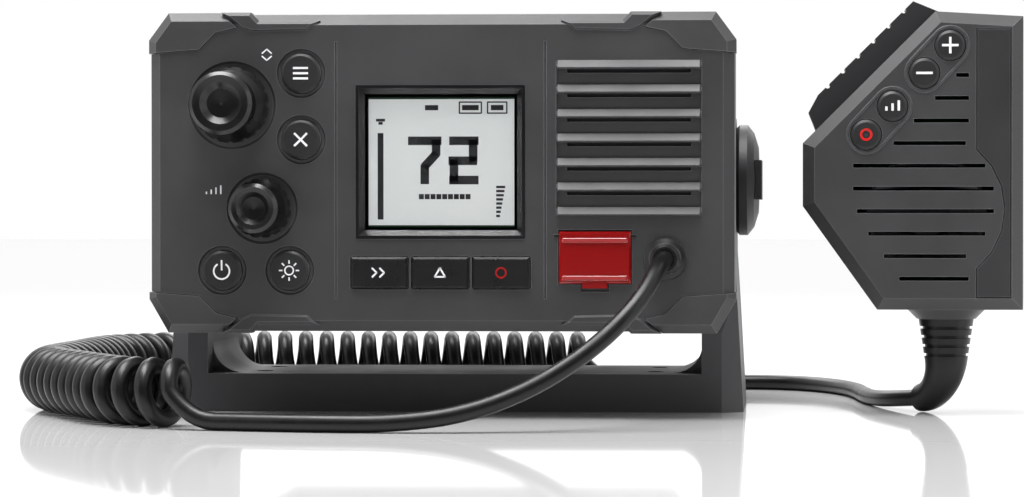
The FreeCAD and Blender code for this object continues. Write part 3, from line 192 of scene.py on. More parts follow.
def grained_plastic(name, base, cloud_and_highlight, roughness, grain=GRAIN, strength=0.5):
    """Moulded plastic: fine grain in the bump, faint cloudiness and a painted highlight on the edges."""
    material, shader = new_material(name, base, roughness, IOR=1.53, Specular_IOR_Level=0.35)
    place = own_place(material)
    fine = noise(material, place, grain, 3.0, 0.6)
    cloud = noise(material, place, CLOUD, 4.0, 0.65)
    rounded = add_node(material, "ShaderNodeBevel", {"samples": 6}, Radius=EDGE_HIGHLIGHT_WIDTH).outputs["Normal"]
    normal = add_node(material, "ShaderNodeNewGeometry").outputs["Normal"]
    cosine = add_node(material, "ShaderNodeVectorMath", {"operation": "DOT_PRODUCT"}, _0=rounded,
                      _1=normal).outputs["Value"]
    # Every edge is mixed towards the lighter colour: a painted highlight, not wear.
    edge = stretch(material, cosine, FLAT_COSINE, EDGE_COSINE, 0.0, EDGE_HIGHLIGHT_MOST)
    tint = stretch(material, cloud, 0.35, 0.65, 0.0, CLOUD_TINT)
    cloudy = mix(material, tint, linear(base), linear(cloud_and_highlight))
    edge_highlighted = mix(material, edge, cloudy, linear(cloud_and_highlight))
    gloss = stretch(material, cloud, 0.3, 0.7, roughness - 0.06, roughness + 0.07)
    grainy = bump(material, fine, GRAIN_HEIGHT, strength)
    join(material, shader, Base_Color=edge_highlighted, Roughness=gloss, Normal=grainy)
    return material


# The second colour tints the cloudiness and also paints the highlight on the edges.
face_abs = grained_plastic("abs_grained_slate", "323233", "707073", 0.46)
cap_abs = grained_plastic("abs_grained_slate_dark", "373738", "787879", 0.42)
bracket_abs = grained_plastic("abs_grained_charcoal", "434345", "6e6e71", 0.44, 0.45 * MM)
mic_abs = grained_plastic("abs_grained_graphite", "333334", "6c6c6f", 0.45)
band_abs = grained_plastic("abs_satin_graphite", "2b2b2c", "545457", 0.36, FINE_GRAIN, 0.25)
knob_abs = grained_plastic("abs_satin_black", "0b0b0c", "323235", 0.24, FINE_GRAIN, 0.25)
clamp_abs = grained_plastic("glass_filled_nylon_black", "19191b", "3c3c40", 0.48, 0.5 * MM, 0.7)
bezel_abs = grained_plastic("abs_gloss_black_frame", "0e0e0f", "2c2c2f", 0.2, FINE_GRAIN, 0.15)
print("plastics:", len(bpy.data.materials))

# %% [markdown]
# ## Silicone keys and cord PVC
# The keys are silicone rubber, cast in a polished mould: matt, with a soft bloom where light grazes them,
# which the sheen gives. The cord is black PVC. It is extruded, so it is smooth, with a waxy shine along its
# curls.

# %% Rubbers
SKIN = 0.6 * MM
SKIN_HEIGHT = 0.03 * MM
DUST = 9 * MM


def soft_rubber(name, base, roughness, sheen):
    """Rubber, PVC, lacquer or ink: a sheen where light grazes, and a very fine, uneven skin."""
    material, shader = new_material(name, base, roughness, IOR=1.5, Sheen_Weight=sheen, Sheen_Roughness=0.45,
                                    Specular_IOR_Level=0.32)
    place = own_place(material)
    skin = noise(material, place, SKIN, 4.0)
    dust = noise(material, place, DUST, 5.0, 0.7)
    gloss = stretch(material, dust, 0.3, 0.7, roughness - 0.07, roughness + 0.08)
    join(material, shader, Normal=bump(material, skin, SKIN_HEIGHT, 0.3), Roughness=gloss)
    return material


key_rubber = soft_rubber("silicone_charcoal", "1d1d1e", 0.46, 0.15)
soft_key_rubber = soft_rubber("silicone_black", "101011", 0.3, 0.08)
seal_rubber = soft_rubber("epdm_black", "151516", 0.7, 0.1)
cord_pvc = soft_rubber("pvc_black", "060607", 0.36, 0.0)
talk_rubber = soft_rubber("thermoplastic_rubber_graphite", "272729", 0.52, 0.2)
print("plastics and rubbers:", len(bpy.data.materials))

# %% [markdown]
# ## Painted casting, nickel and steel
# The rear case is a die casting with powder paint over it: matt black, with the faint orange peel that
# powder leaves as it melts. Sockets are nickel on brass. Screws are stainless steel, and the screen behind
# the louvres is perforated steel sheet. Its holes are not cut but drawn as a grid of near-black dots,
# painted shade, at their real spacing of one millimetre.

# %% Metals
PEEL = 1.6 * MM
PEEL_HEIGHT = 0.06 * MM
SPECK = 0.3 * MM
TURNING_MARKS = 0.8 * MM
HOLE_PITCH = 1.0 * MM
HOLE_EDGE = (0.3, 0.36)


def powder_paint():
    """Black powder paint with orange peel of one to two millimetres."""
    material, shader = new_material("powder_paint_black", "18181a", 0.5, IOR=1.5)
    place = own_place(material)
    peel = noise(material, place, PEEL, 2.0)
    speck = noise(material, place, SPECK, 2.0)
    both = add_node(material, "ShaderNodeMath", {"operation": "ADD"}, _0=peel, _1=speck).outputs["Value"]
    join(material, shader, Normal=bump(material, both, PEEL_HEIGHT, 0.5))
    return material


def bare_metal(name, base, roughness):
    """A plain machined or plated metal, with turning marks as faint changes of gloss."""
    material, shader = new_material(name, base, roughness, Metallic=1.0)
    marks = noise(material, own_place(material), TURNING_MARKS, 5.0)
    join(material, shader, Roughness=stretch(material, marks, 0.0, 1.0, roughness - 0.05, roughness + 0.12))
    return material


def perforated_sheet():
    """Black steel sheet with round holes one millimetre apart, drawn as near-black dots of painted shade."""
    material, shader = new_material("perforated_steel_black", "2a2b2d", 0.5, Metallic=0.6)
    cells = add_node(material, "ShaderNodeTexVoronoi", Vector=own_place(material), Scale=1 / HOLE_PITCH,
                     Randomness=0.0)
    solid = stretch(material, cells.outputs["Distance"], *HOLE_EDGE)
    # The holes are not cut: near-black dots stand in for them, painted shade of what lies behind.
    join(material, shader, Base_Color=mix(material, solid, linear("050505"), linear("2a2b2d")))
    return material


case_paint = powder_paint()
nickel = bare_metal("nickel_plated_brass", "b9b4a6", 0.28)
stainless = bare_metal("stainless_steel", "a9abad", 0.32)
black_steel = bare_metal("blackened_steel", "2c2b2a", 0.4)
mesh_steel = perforated_sheet()
print("plastics, rubbers and metals:", len(bpy.data.materials))

# %% [markdown]
# ## The window, the display and the red cover
# The window is clear polycarbonate with a hard coat, thin enough to bend hardly any light. The display is a
# grey-white screen, lit from behind, so it gives light of its own, a little unevenly. The cover is red
# polycarbonate: some light passes through it, and a hard coat over faint ripples gives it a wet shine.

# %% Clear and lit materials
GLOW = 40 * MM
RIPPLE = 3 * MM
RIPPLE_HEIGHT = 0.02 * MM


def lit_panel():
    """A pale screen that gives a little light of its own."""
    material, shader = new_material("display_lit", "b9bdbc", 0.4, Emission_Strength=0.30)
    glow = noise(material, own_place(material), GLOW, 1.0)
    join(material, shader, Emission_Color=mix(material, glow, linear("dde3e6"), linear("f2f4f1")))
    return material


def red_polycarbonate():
    """Red plastic with a hard coat over faint ripples."""
    material, shader = new_material("polycarbonate_red", "9c0709", 0.12, IOR=1.45, Transmission_Weight=0.3,
                                    Coat_Weight=0.5, Coat_Roughness=0.05)
    ripple = noise(material, own_place(material), RIPPLE, 1.0)
    join(material, shader, Normal=bump(material, ripple, RIPPLE_HEIGHT, 0.3))
    return material


window_clear = new_material("polycarbonate_clear", "ffffff", 0.03, IOR=1.2, Transmission_Weight=1.0)[0]
lit_white = lit_panel()
segment_dark = new_material("display_dark_pixels", "15181b", 0.45)[0]
red_clear = red_polycarbonate()
red_rubber = soft_rubber("silicone_red", "b3120f", 0.42, 0.1)
board_green = soft_rubber("circuit_board_green", "14502c", 0.4, 0.0)
print("materials with the clear and the lit ones:", len(bpy.data.materials))

# %% [markdown]
# ## Dressing the model
# Each node of the model gets the material that its real piece is made of. A node keeps its mesh: only the
# material in its slots changes. One list for each material makes it easy to see that no node was forgotten.

# %% Materials on the nodes
dress = {
    face_abs: ["front_bezel"],
    cap_abs: ["corner_cap_top_left", "corner_cap_top_right", "corner_cap_bottom_left",
              "corner_cap_bottom_right"],
    bracket_abs: ["gimbal_bracket"],
    clamp_abs: ["clamp_knob_left", "clamp_knob_right", "mic_hang_stud"],
    mic_abs: ["mic_front_shell", "mic_rear_shell"],
    band_abs: ["mic_side_band", "mic_collar"],
    knob_abs: ["channel_knob", "volume_knob", "channel_encoder", "volume_encoder"],
    bezel_abs: ["screen_frame", "speaker", "mic_speaker", "mic_capsule"],
    key_rubber: ["menu_key", "close_key", "power_key", "light_key", "mic_up_key", "mic_down_key",
                 "mic_power_key", "mic_channel_key"],
    soft_key_rubber: ["softkey_left", "softkey_middle", "softkey_right", "cord_gland"],
    seal_rubber: ["friction_washer_left", "friction_washer_right", "key_mat", "case_seal", "mic_seal"],
    talk_rubber: ["talk_key"],
    cord_pvc: ["mic_boot", "curly_cord", "front_lead", "mic_lead"],
    window_clear: ["screen_window"],
    lit_white: ["lcd_panel"],
    red_clear: ["distress_cover"],
    red_rubber: ["distress_key"],
    board_green: ["front_board", "main_board", "mic_board"],
    case_paint: ["rear_case"],
    nickel: ["antenna_socket", "power_socket", "data_socket", "transmitter_shield"],
    stainless: ["case_screws", "mic_screws"],
    black_steel: ["distress_hinge_pin"],
    mesh_steel: ["speaker_mesh"],
}
for finish, dressed in dress.items():
    for node_name in dressed:
        for material_slot in nodes[node_name].material_slots:
            material_slot.material = finish
print("dressed nodes:", sum(len(dressed) for dressed in dress.values()), "of", len(nodes))

# %% [markdown]
# ## Printed signs
# The signs on the keys are pad-printed: a thin film of ink that follows the key's dished top. Each sign is
# made of strokes. A stroke is a line with a width, cut into short pieces, so that every corner can lie on
# the dish. We make only signs that any maker uses: bars, a cross, the power ring, a sun, plus and minus,
# chevrons, a triangle, a ring.

# %% Ink
PRINT_WEAR = 0.5 * MM


def worn_print():
    """White ink whose brightness varies a little, as a thin coat does."""
    material, shader = new_material("pad_print_white", "e9eaec", 0.5, IOR=1.5)
    wear = noise(material, own_place(material), PRINT_WEAR, 2.0)
    join(material, shader, Base_Color=mix(material, wear, linear("d9dadd"), linear("f6f6f7")))
    return material


print_white = worn_print()
print_red = soft_rubber("pad_print_red", "c01c18", 0.45, 0.0)
print("all materials of the model:", len(bpy.data.materials))

# %% Strokes of ink
INK = 0.06 * MM
FILM = 0.6 * INK
PIECE = 0.35 * MM
STROKE_END = 0.15


def mesh_piece(name, verts, faces, material):
    """A new mesh object of one material."""
    mesh = bpy.data.meshes.new(name)
    mesh.from_pydata(verts, [], faces)
    mesh.materials.append(material)
    return place_in_scene(name, mesh)


def ink(name, strokes, width, surface, body, material=print_white):
    """Strokes of (x, z) points in metres, laid on surface(x, z), which gives the y of what is under them."""
    verts = []
    faces = []
    for stroke in strokes:
        for a, b in zip(stroke, stroke[1:]):
            start = Vector((a[0], a[1]))
            run = Vector((b[0], b[1])) - start
            way = run.normalized()
            side = Vector((-way.y, way.x)) * width / 2
            begin = start - way * width * STROKE_END
            run_length = run.length + width * 2 * STROKE_END
            pieces = max(1, int(run_length / PIECE))
            for i in range(pieces + 1):
                point = begin + way * (run_length * i / pieces)
                for share in (1, 0, -1):
                    x, z = point + side * share
                    verts.append((x, surface(x, z) - INK, z))
                if i:
                    n = len(verts)
                    faces.append((n - 6, n - 5, n - 2, n - 3))
                    faces.append((n - 5, n - 4, n - 1, n - 2))
    sign = mesh_piece(name, verts, faces, material)
    film = sign.modifiers.new("film", "SOLIDIFY")
    film.thickness = FILM
    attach(sign, body)
    return sign


def arc(x, z, radius, start, end, pieces=24):
    """Points of an arc, with angles in degrees from the right, anticlockwise."""
    angles = [math.radians(start + (end - start) * i / pieces) for i in range(pieces + 1)]
    return [(x + radius * math.cos(a), z + radius * math.sin(a)) for a in angles]


def middle(node):
    """The centre of a node across and up, and its front."""
    low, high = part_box(node)
    return (low[0] + high[0]) / 2, (low[2] + high[2]) / 2, low[1]


def from_middle(node, strokes, across=0.0, up=0.0):
    """Strokes in millimetres from a place beside a node's middle, turned into points in metres."""
    x0, z0, front = middle(node)
    return [[(x0 + (across + x) * MM, z0 + (up + z) * MM) for x, z in stroke] for stroke in strokes]


# %% [markdown]
# ## Signs on the keys
# A round key has a shallow dish that the fingertip finds, so its sign lies on a cone that is deepest in the
# middle. The soft keys and the face are flat. Each sign stands in a list with its key, its strokes and
# their width.

# %% Signs on the round keys and on the microphone's keys
DISH = 0.3 * MM
ROUND_KEY_DISH = 3.42 * MM
MIC_KEY_DISH = 3.6 * MM
SUN_RAYS = 8


def dished(node, radius):
    """The surface of a key's top: a shallow dish inside a flat rim."""
    x0, z0, front = middle(node)

    def surface(x, z):
        distance = math.hypot(x - x0, z - z0)
        return front + DISH * max(0.0, 1 - distance / radius)
    return surface


def sun():
    """A ring with rays round it."""
    strokes = [arc(0, 0, 1.25, 0, 360)]
    for ray in range(SUN_RAYS):
        turn = math.radians(360 / SUN_RAYS * ray)
        strokes.append([(radius * math.cos(turn), radius * math.sin(turn)) for radius in (2.0, 2.9)])
    return strokes


ROUND_KEY_SIGNS = [
    ("menu_sign", "menu_key", [[(-2.1, h), (2.1, h)] for h in (-1.5, 0, 1.5)], 0.62, print_white),
    ("close_sign", "close_key", [[(-1.8, -1.8), (1.8, 1.8)], [(-1.8, 1.8), (1.8, -1.8)]], 0.62, print_white),
    ("power_sign", "power_key", [arc(0, -0.2, 2.3, 122, 418), [(0, 0.1), (0, 2.9)]], 0.5, print_white),
    ("light_sign", "light_key", sun(), 0.42, print_white),
]
MIC_KEY_SIGNS = [
    ("plus_sign", "mic_up_key", [[(-2.3, 0), (2.3, 0)], [(0, -2.3), (0, 2.3)]], 0.7, print_white),
    ("minus_sign", "mic_down_key", [[(-2.3, 0), (2.3, 0)]], 0.7, print_white),
    ("mic_level_sign", "mic_power_key",
     [[(x, -1.2), (x, top)] for x, top in ((-1.8, -0.2), (0, 0.7), (1.8, 1.6))], 0.7, print_white),
    ("mic_dot_sign", "mic_channel_key", [arc(0, 0, 1.5, 0, 360)], 0.7, print_red),
]
for signs, dish_radius in ((ROUND_KEY_SIGNS, ROUND_KEY_DISH), (MIC_KEY_SIGNS, MIC_KEY_DISH)):
    for sign_name, key, strokes, width, colour in signs:
        ink(sign_name, from_middle(key, strokes), width * MM, dished(key, dish_radius), key + "_body", colour)
print("signs on dished keys:", len(ROUND_KEY_SIGNS) + len(MIC_KEY_SIGNS))

# %% Signs on the soft keys and marks on the face
KEY_PROUD = 1.2 * MM
SOFT_KEY_STROKE = 0.5 * MM
MARK_STROKE = 0.4 * MM
face_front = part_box("menu_key")[0][1] + KEY_PROUD


def flat_at(y):
    """A flat surface that looks to the front at this y."""
    return lambda x, z: y


SOFT_KEY_SIGNS = [
    ("softkey_left_sign", "softkey_left",
     [[(x - 0.9, 1.3), (x + 0.4, 0), (x - 0.9, -1.3)] for x in (-1.1, 1.1)], print_white),
    ("softkey_middle_sign", "softkey_middle",
     [[(-1.5, -1.2), (1.5, -1.2), (0, 1.4), (-1.5, -1.2)]], print_white),
    ("softkey_right_sign", "softkey_right", [arc(0, 0, 1.4, 0, 360)], print_red),
]
for sign_name, key, strokes, colour in SOFT_KEY_SIGNS:
    ink(sign_name, from_middle(key, strokes), SOFT_KEY_STROKE, flat_at(middle(key)[2]), key + "_body", colour)

FACE_MARKS = [
    ("channel_mark", "channel_knob", 10.2, 14.6,
     [[(-1.4, 0.4), (0, 1.6), (1.4, 0.4)], [(-1.4, -0.4), (0, -1.6), (1.4, -0.4)]]),
    ("volume_mark", "volume_knob", -14.2, 5.6,
     [[(x, -1.4), (x, -1.4 + 0.6 * n)] for n, x in enumerate((-2.1, -0.7, 0.7, 2.1), 1)]),
]
for mark_name, knob, across, up, strokes in FACE_MARKS:
    ink(mark_name, from_middle(knob, strokes, across, up), MARK_STROKE, flat_at(face_front), "radio")
print("signs on flat keys:", len(SOFT_KEY_SIGNS), "marks on the face:", len(FACE_MARKS))

# %% [markdown]
# ## Sloped louvres and the ridges of the cover
# The bars over the speaker lean back at the top, so they face the sky: water runs off them, and light from
# above makes them the brightest lines on the face. Each is one five-sided profile drawn along the bar, with
# ends that taper. The red cover has two low ridges of the same kind, for a fingernail.

# %% Louvres and ridges
LOUVRES = 7
LOUVRE_ENDS = (33.6 * MM, 75.6 * MM)
LOUVRE_TOP_Z = 102.6 * MM
LOUVRE_PITCH = 7.06 * MM
LOUVRE_PROFILE = [(0.3, 1.45), (-0.15, 1.4), (-1.75, -0.75), (-1.5, -1.15), (0.3, -1.3)]
RIDGE_PROFILE = [(0.1, 0.75), (-0.12, 0.7), (-0.6, -0.3), (-0.5, -0.6), (0.1, -0.7)]
RIDGE_INSET = 0.8 * MM
TOP_RIDGE_BELOW = 2.6 * MM
LOW_RIDGE_ABOVE = 2.9 * MM
TAPERED_FROM = -0.1
END_TAPER = 0.5 * MM
SOFT_EDGE = 0.12 * MM


def sloped_strip(name, ends, z, front, profile, body, material):
    """A strip along X. Its profile has (y, z) points in millimetres, from its front and its middle."""
    low, high = ends
    verts = []
    for x, inward in ((low, 1), (high, -1)):
        for y, up in profile:
            shift = END_TAPER * inward if y < TAPERED_FROM else 0.0
            verts.append((x + shift, front + y * MM, z + up * MM))
    sides = len(profile)
    faces = [tuple(range(sides)), tuple(reversed(range(sides, 2 * sides)))]
    for j in range(sides):
        beside = (j + 1) % sides
        faces.append((beside, j, j + sides, beside + sides))
    strip = mesh_piece(name, verts, faces, material)
    edge = strip.modifiers.new("soft_edges", "BEVEL")
    edge.width = SOFT_EDGE
    edge.segments = 2
    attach(strip, body)
    return strip


for louvre in range(LOUVRES):
    sloped_strip(f"louvre_{louvre + 1}", LOUVRE_ENDS, LOUVRE_TOP_Z - louvre * LOUVRE_PITCH, face_front,
                 LOUVRE_PROFILE, "radio", face_abs)
cover_low, cover_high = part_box("distress_cover")
cover_ends = (cover_low[0] + RIDGE_INSET, cover_high[0] - RIDGE_INSET)
for ridge_name, ridge_z in (("cover_ridge_top", cover_high[2] - TOP_RIDGE_BELOW),
                            ("cover_ridge_bottom", cover_low[2] + LOW_RIDGE_ABOVE)):
    sloped_strip(ridge_name, cover_ends, ridge_z, cover_low[1], RIDGE_PROFILE, "distress_cover_body",
                 red_clear)
print("louvres:", LOUVRES, "and two ridges on the cover")

# %% [markdown]
# ## Raised rims round the microphone's keys
# Two low rims, shaped like a long pill, frame the keys on the microphone, so that a thumb finds them in the
# dark. Each is a small four-sided profile that runs round two half circles joined by straight lines.

# %% Rims on the microphone
RIM_PROFILE = [(-0.5, -0.05), (-0.24, 0.32), (0.24, 0.32), (0.5, -0.05)]
RIM_RADIUS = 5.5 * MM


def pill_path(first, second, radius, pieces=14):
    """Points round two centres: (x, z) and the way outwards, as angles in radians."""
    lean = math.atan2(second[1] - first[1], second[0] - first[0])
    path = []
    for centre, start in ((second, lean - math.pi / 2), (first, lean + math.pi / 2)):
        for i in range(pieces + 1):
            path.append((centre, start + math.pi * i / pieces))
    return [(x + radius * math.cos(a), z + radius * math.sin(a), a) for (x, z), a in path]


def raised_rim(name, first, second):
    """A low rim round two keys, on the front of the microphone."""
    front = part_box("mic_front_shell")[0][1]
    path = pill_path(middle(first)[:2], middle(second)[:2], RIM_RADIUS)
    verts = []
    for x, z, angle in path:
        for across, height in RIM_PROFILE:
            out = across * MM
            verts.append((x + out * math.cos(angle), front - height * MM, z + out * math.sin(angle)))
    sides = len(RIM_PROFILE)
    faces = []
    for i in range(len(path)):
        here, ahead = i * sides, (i + 1) % len(path) * sides
        for j in range(sides):
            beside = (j + 1) % sides
            faces.append((here + j, here + beside, ahead + beside, ahead + j))
    rim = mesh_piece(name, verts, faces, mic_abs)
    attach(rim, "base")
    return len(path)


raised_rim("mic_rim_upper", "mic_down_key", "mic_up_key")
print("steps round a rim:", raised_rim("mic_rim_lower", "mic_channel_key", "mic_power_key"))

# %% [markdown]
# ## The picture on the display
# The display is dark segments on a light field. We draw two plain numerals, large, as bars of ink on the
# panel, with a level bar down each side and a few small frames along the top. Bars are enough: a real
# display is made the same way. All measures are in millimetres from the middle of the display.

# %% Bars on the display
TOP_ROW = 15.8
DOTS, DOT_PITCH, DOT_ROW = 9, 1.7, -10.0
STEPS, STEP_PITCH, STEP_GROWTH = 8, 1.2, 0.22
STEP_X, STEP_LOW, SHORT_STEP = 16.0, -15.6, 0.9


def small_frame(x, z, wide, tall):
    """The four sides of a frame, from its middle and half of its width and height."""
    corners = [(x - wide, z - tall), (x + wide, z - tall), (x + wide, z + tall), (x - wide, z + tall)]
    return [[a, b] for a, b in zip(corners, corners[1:] + corners[:1])]


seven = [[(-9.4, 6.2), (-0.4, 6.2)], [(-1.6, 6.2), (-1.6, 2.4)], [(-1.6, 2.4), (-4.9, -1.2)],
         [(-4.9, -1.2), (-4.9, -6.0)]]
two = [[(2.6, 6.2), (10.4, 6.2)], [(9.2, 6.2), (9.2, 0.6)], [(10.0, 0.4), (2.4, 0.4)],
       [(3.6, 0.4), (3.6, -5.4)], [(2.6, -5.2), (10.4, -5.2)]]
steps = []
for step in range(STEPS):
    step_z = STEP_LOW + STEP_PITCH * step
    steps.append([(STEP_X, step_z), (STEP_X + SHORT_STEP + STEP_GROWTH * step, step_z)])
frames = small_frame(8.4, TOP_ROW, 3.2, 1.6) + small_frame(16.2, TOP_ROW, 2.8, 1.6)
fills = [[(left, TOP_ROW), (right, TOP_ROW)] for left, right in ((6.2, 10.6), (14.6, 17.8), (-4.6, -1.2))]
dots = [[(-6.4 + DOT_PITCH * i, DOT_ROW), (-5.4 + DOT_PITCH * i, DOT_ROW)] for i in range(DOTS)]
DISPLAY_BARS = [
    ("display_numerals", seven + two, 2.5),
    ("display_left_bar", [[(-17.8, -16.4), (-17.8, 8.2)]], 1.7),
    ("display_left_mark", [[(-19.0, 12.2), (-16.6, 12.2)], [(-18.3, 11.3), (-17.3, 11.3)]], 0.8),
    ("display_steps", steps, 0.7),
    ("display_frames", frames, 0.4),
    ("display_frame_fill", fills, 1.5),
    ("display_row", dots, 1.5),
]
on_panel = flat_at(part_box("lcd_panel")[0][1])
for bars_name, bars, width in DISPLAY_BARS:
    ink(bars_name, from_middle("lcd_panel", bars), width * MM, on_panel, "radio", segment_dark)
print("groups of bars on the display:", len(DISPLAY_BARS))

# %% [markdown]
# ## The cord
# The cord is one cable with a stretch wound into curls. The curls follow a middle line: a smooth spline
# through a few points round the radio, behind it, down its left side and in front. We read that line from a
# curve without any thickness, then wind the wire round it, fourteen points for each turn, as the wire is
# wound on a rod in the factory. A spline runs inside its control points, so these stand a little further
# out than the wire.

# %% Points and sizes of the cord
CORD = 5.0 * MM
FLOOR = CORD / 2
WOUND_WIDTH = 19.6 * MM
TURNS = 49.5
POINTS_PER_TURN = 14
COIL_MIDDLE_Z = WOUND_WIDTH / 2
COIL_ROUTE = [(30, 97), (-13, 97), (-57.1, 97), (-96.9, 97), (-125, 68.9), (-125, 29.1), (-125, 5.1),
              (-125, -27.1), (-108.9, -54.9), (-100, -70.3), (-83.9, -98.3), (-68.3, -102.2)]
MIC_LEAD_ROUTE = [(140.4, -20.5, 4.3), (132.1, -9.3, 3.2), (126.5, 6, 2.5), (124, 26, 2.5), (122.5, 48, 2.5),
                  (117, 69, 2.5), (106, 87.5, 2.5), (91, 95.5, 2.5), (74, 95, 2.5), (58, 89.7, 2.5),
                  (43.5, 89.7, 2.5)]
FRONT_LEAD_ROUTE = [(65.2, -69, 46.6), (65.2, -86, 46.6), (60, -101, 35.5), (48, -109.5, 23),
                    (31.5, -115.5, 12), (13, -119.2, 5), (-6, -120.3, 2.6), (-24, -119.6, 2.5),
                    (-41, -116.5, 2.5), (-56.9, -112.5, 2.5)]


def spline_curve(name, points, thickness, resolution):
    """A smooth NURBS curve with these control points. Its order of 3 is set once the points are there."""
    data = bpy.data.curves.new(name, "CURVE")
    data.dimensions = "3D"
    spline = data.splines.new("NURBS")
    spline.points.add(len(points) - 1)
    for control, point in zip(spline.points, points):
        control.co = (*point, 1.0)
    spline.order_u = 3
    spline.use_endpoint_u = True
    data.resolution_u = resolution
    data.bevel_depth = thickness / 2
    data.bevel_resolution = 4
    data.use_fill_caps = thickness > 0
    return place_in_scene(name, data)


def mesh_of(curve):
    """The mesh that Blender makes of a curve, which is then removed."""
    bpy.context.view_layer.update()
    mesh = bpy.data.meshes.new_from_object(curve)
    bpy.data.objects.remove(curve)
    return mesh


def read_line(name, points):
    """The points along the spline, as Blender works them out for a curve with no thickness."""
    mesh = mesh_of(spline_curve(name, points, 0.0, 24))
    line = [v.co.copy() for v in mesh.vertices]
    bpy.data.meshes.remove(mesh)
    return line


def line_length(points):
    """The length of a line through these points."""
    return sum((b - a).length for a, b in zip(points, points[1:]))


# %% Winding the curls
coil_line = read_line("coil_line", [(x * MM, y * MM, COIL_MIDDLE_Z) for x, y in COIL_ROUTE])
lengths = [0.0]
for before, here in zip(coil_line, coil_line[1:]):
    lengths.append(lengths[-1] + (here - before).length)


def along_coil(distance):
    """The place on the middle line at a distance, and the way it runs there."""
    i = 1
    while i < len(lengths) - 1 and lengths[i] < distance:
        i += 1
    share = (distance - lengths[i - 1]) / (lengths[i] - lengths[i - 1])
    place = coil_line[i - 1].lerp(coil_line[i], share)
    ahead = coil_line[min(i + 1, len(coil_line) - 1)] - coil_line[max(i - 2, 0)]
    return place, ahead.normalized()


def wound_points():
    """The control points of the curls. The lowest of a turn are drawn in, so none sinks into the table."""
    wire_radius = (WOUND_WIDTH - CORD) / 2
    control_radius = wire_radius / ((1 + math.cos(2 * math.pi / POINTS_PER_TURN)) / 2) ** 0.5
    count = int(TURNS * POINTS_PER_TURN)
    points = []
    for i in range(count + 1):
        place, ahead = along_coil(lengths[-1] * i / count)
        outward = Vector((ahead.y, -ahead.x, 0))
        angle = math.pi - 2 * math.pi * TURNS * i / count
        at_bottom = math.sin(angle) < -0.99
        radius = COIL_MIDDLE_Z - FLOOR if at_bottom else control_radius
        points.append(place + outward * (radius * math.cos(angle)) + Vector((0, 0, radius * math.sin(angle))))
    return points


curl_points = wound_points()
print("middle line of the curls", round(lengths[-1], 4), "points on the wire", len(curl_points))

# %% [markdown]
# The wire runs on from the curls along the floor to the microphone's boot, so both are one spline that
# rides on the base. The stretch from the gland is a mesh tube, made from a spline of its own.

# %% The long cord
curls_from = Vector((38.5 * MM, 89.7 * MM, FLOOR))
curls_to = Vector((-61.8 * MM, -111.3 * MM, FLOOR))
tail = Vector((-56.9 * MM, -112.5 * MM, FLOOR))
long_points = [Vector(p) * MM for p in MIC_LEAD_ROUTE] + [curls_from] + curl_points + [curls_to, tail]
long_cord = spline_curve("curly_cord_pvc", long_points, CORD, 4)
long_cord.data.materials.append(cord_pvc)
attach(long_cord, "base")
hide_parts("curly_cord", "mic_lead")
long_length = line_length(read_line("long_line", long_points))
print("length of the curly cord with the lead to the microphone", round(long_length, 3))

# %% The lead from the gland
front_points = [Vector(p) * MM for p in FRONT_LEAD_ROUTE]
front_line = read_line("front_line", front_points)
front_mesh = mesh_of(spline_curve("front_lead_curve", front_points, CORD, 16))
front_mesh.materials.clear()
front_mesh.materials.append(cord_pvc)
for face in front_mesh.polygons:
    face.use_smooth = True
front_lead = place_in_scene("front_lead_pvc", front_mesh)
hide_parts("front_lead")
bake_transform(front_lead)
print("length of the front lead", round(line_length(front_line), 3))

# %% [markdown]
# ## Floor and light
# The object stands on a glossy white table, and the gloss gives the faint mirror image. One large lamp
# overhead does most of the work: it brightens what faces up and leaves the face dark, as in the photograph.
# Weak lamps left and right open the sides, and one behind lights the back edges. The world is white behind
# and overhead and dim in front, so that the dark plastic doesn't mirror white. The backdrop itself, seen
# straight, is plain white.

# %% Floor
floor_corners = [(-6, -3, 0), (6, -3, 0), (6, 6, 0), (-6, 6, 0)]
table_white = new_material("acrylic_white", "d2d2d2", 0.05, IOR=1.49)[0]
floor = mesh_piece("table_top", floor_corners, [(0, 1, 2, 3)], table_white)
print("table top from", floor_corners[0], "to", floor_corners[2], "in metres")

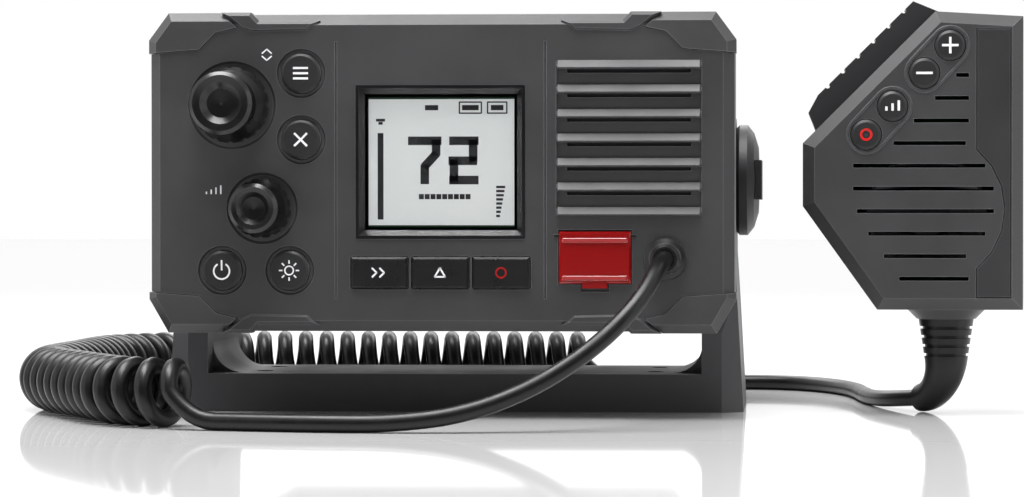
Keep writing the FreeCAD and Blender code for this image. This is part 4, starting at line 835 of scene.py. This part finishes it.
# %% Lamps
LAMPS = [
    # name, place, what it looks at, width and height in metres, power in watts
    ("lamp_above", (-0.12, -0.20, 1.0), (0.05, 0, 0.06), (0.9, 0.45), 22.0),
    ("lamp_left", (-0.95, -0.6, 0.35), (0.0, 0, 0.06), (0.5, 0.7), 1.8),
    ("lamp_right", (1.0, -0.35, 0.35), (0.1, 0, 0.06), (0.35, 0.7), 1.4),
    ("lamp_back", (0.1, 0.9, 0.7), (0.05, 0, 0.06), (1.2, 0.5), 8.0),
]


def soft_lamp(name, place, target, size, power):
    """A rectangular lamp that looks at its target."""
    data = bpy.data.lights.new(name, "AREA")
    data.shape = "RECTANGLE"
    data.size, data.size_y = size
    data.energy = power
    lamp = place_in_scene(name, data)
    lamp.location = place
    lamp.rotation_euler = (Vector(target) - Vector(place)).to_track_quat("-Z", "Y").to_euler()


for lamp_values in LAMPS:
    soft_lamp(*lamp_values)
print("lamps:", len(LAMPS))

# %% World
DIM_FRONT = 0.08
FRONT_TO_BACK = (-0.75, 0.35)
LOW_TO_HIGH = (0.25, 0.85)
FROM_ABOVE = 0.75


def studio_world():
    """White overhead and behind the object, and dim in front of it. The backdrop itself is plain white."""
    world = bpy.data.worlds.new("studio")
    bpy.context.scene.world = world
    world.use_nodes = True
    way = add_node(world, "ShaderNodeTexCoord").outputs["Generated"]
    parts = add_node(world, "ShaderNodeSeparateXYZ", Vector=way).outputs
    depth = stretch(world, parts["Y"], *FRONT_TO_BACK, DIM_FRONT, 1.0)
    height = stretch(world, parts["Z"], *LOW_TO_HIGH, 0.0, FROM_ABOVE)
    light = add_node(world, "ShaderNodeMath", {"operation": "ADD", "use_clamp": True}, _0=depth,
                     _1=height).outputs["Value"]
    seen = add_node(world, "ShaderNodeLightPath").outputs["Is Camera Ray"]
    strength = add_node(world, "ShaderNodeMath", {"operation": "MAXIMUM"}, _0=light, _1=seen)
    background = world.node_tree.nodes["Background"]
    background.inputs["Color"].default_value = (1, 1, 1, 1)
    world.node_tree.links.new(strength.outputs["Value"], background.inputs["Strength"])
    return world


print("world:", studio_world().name)
bpy.context.scene.view_settings.view_transform = "Standard"
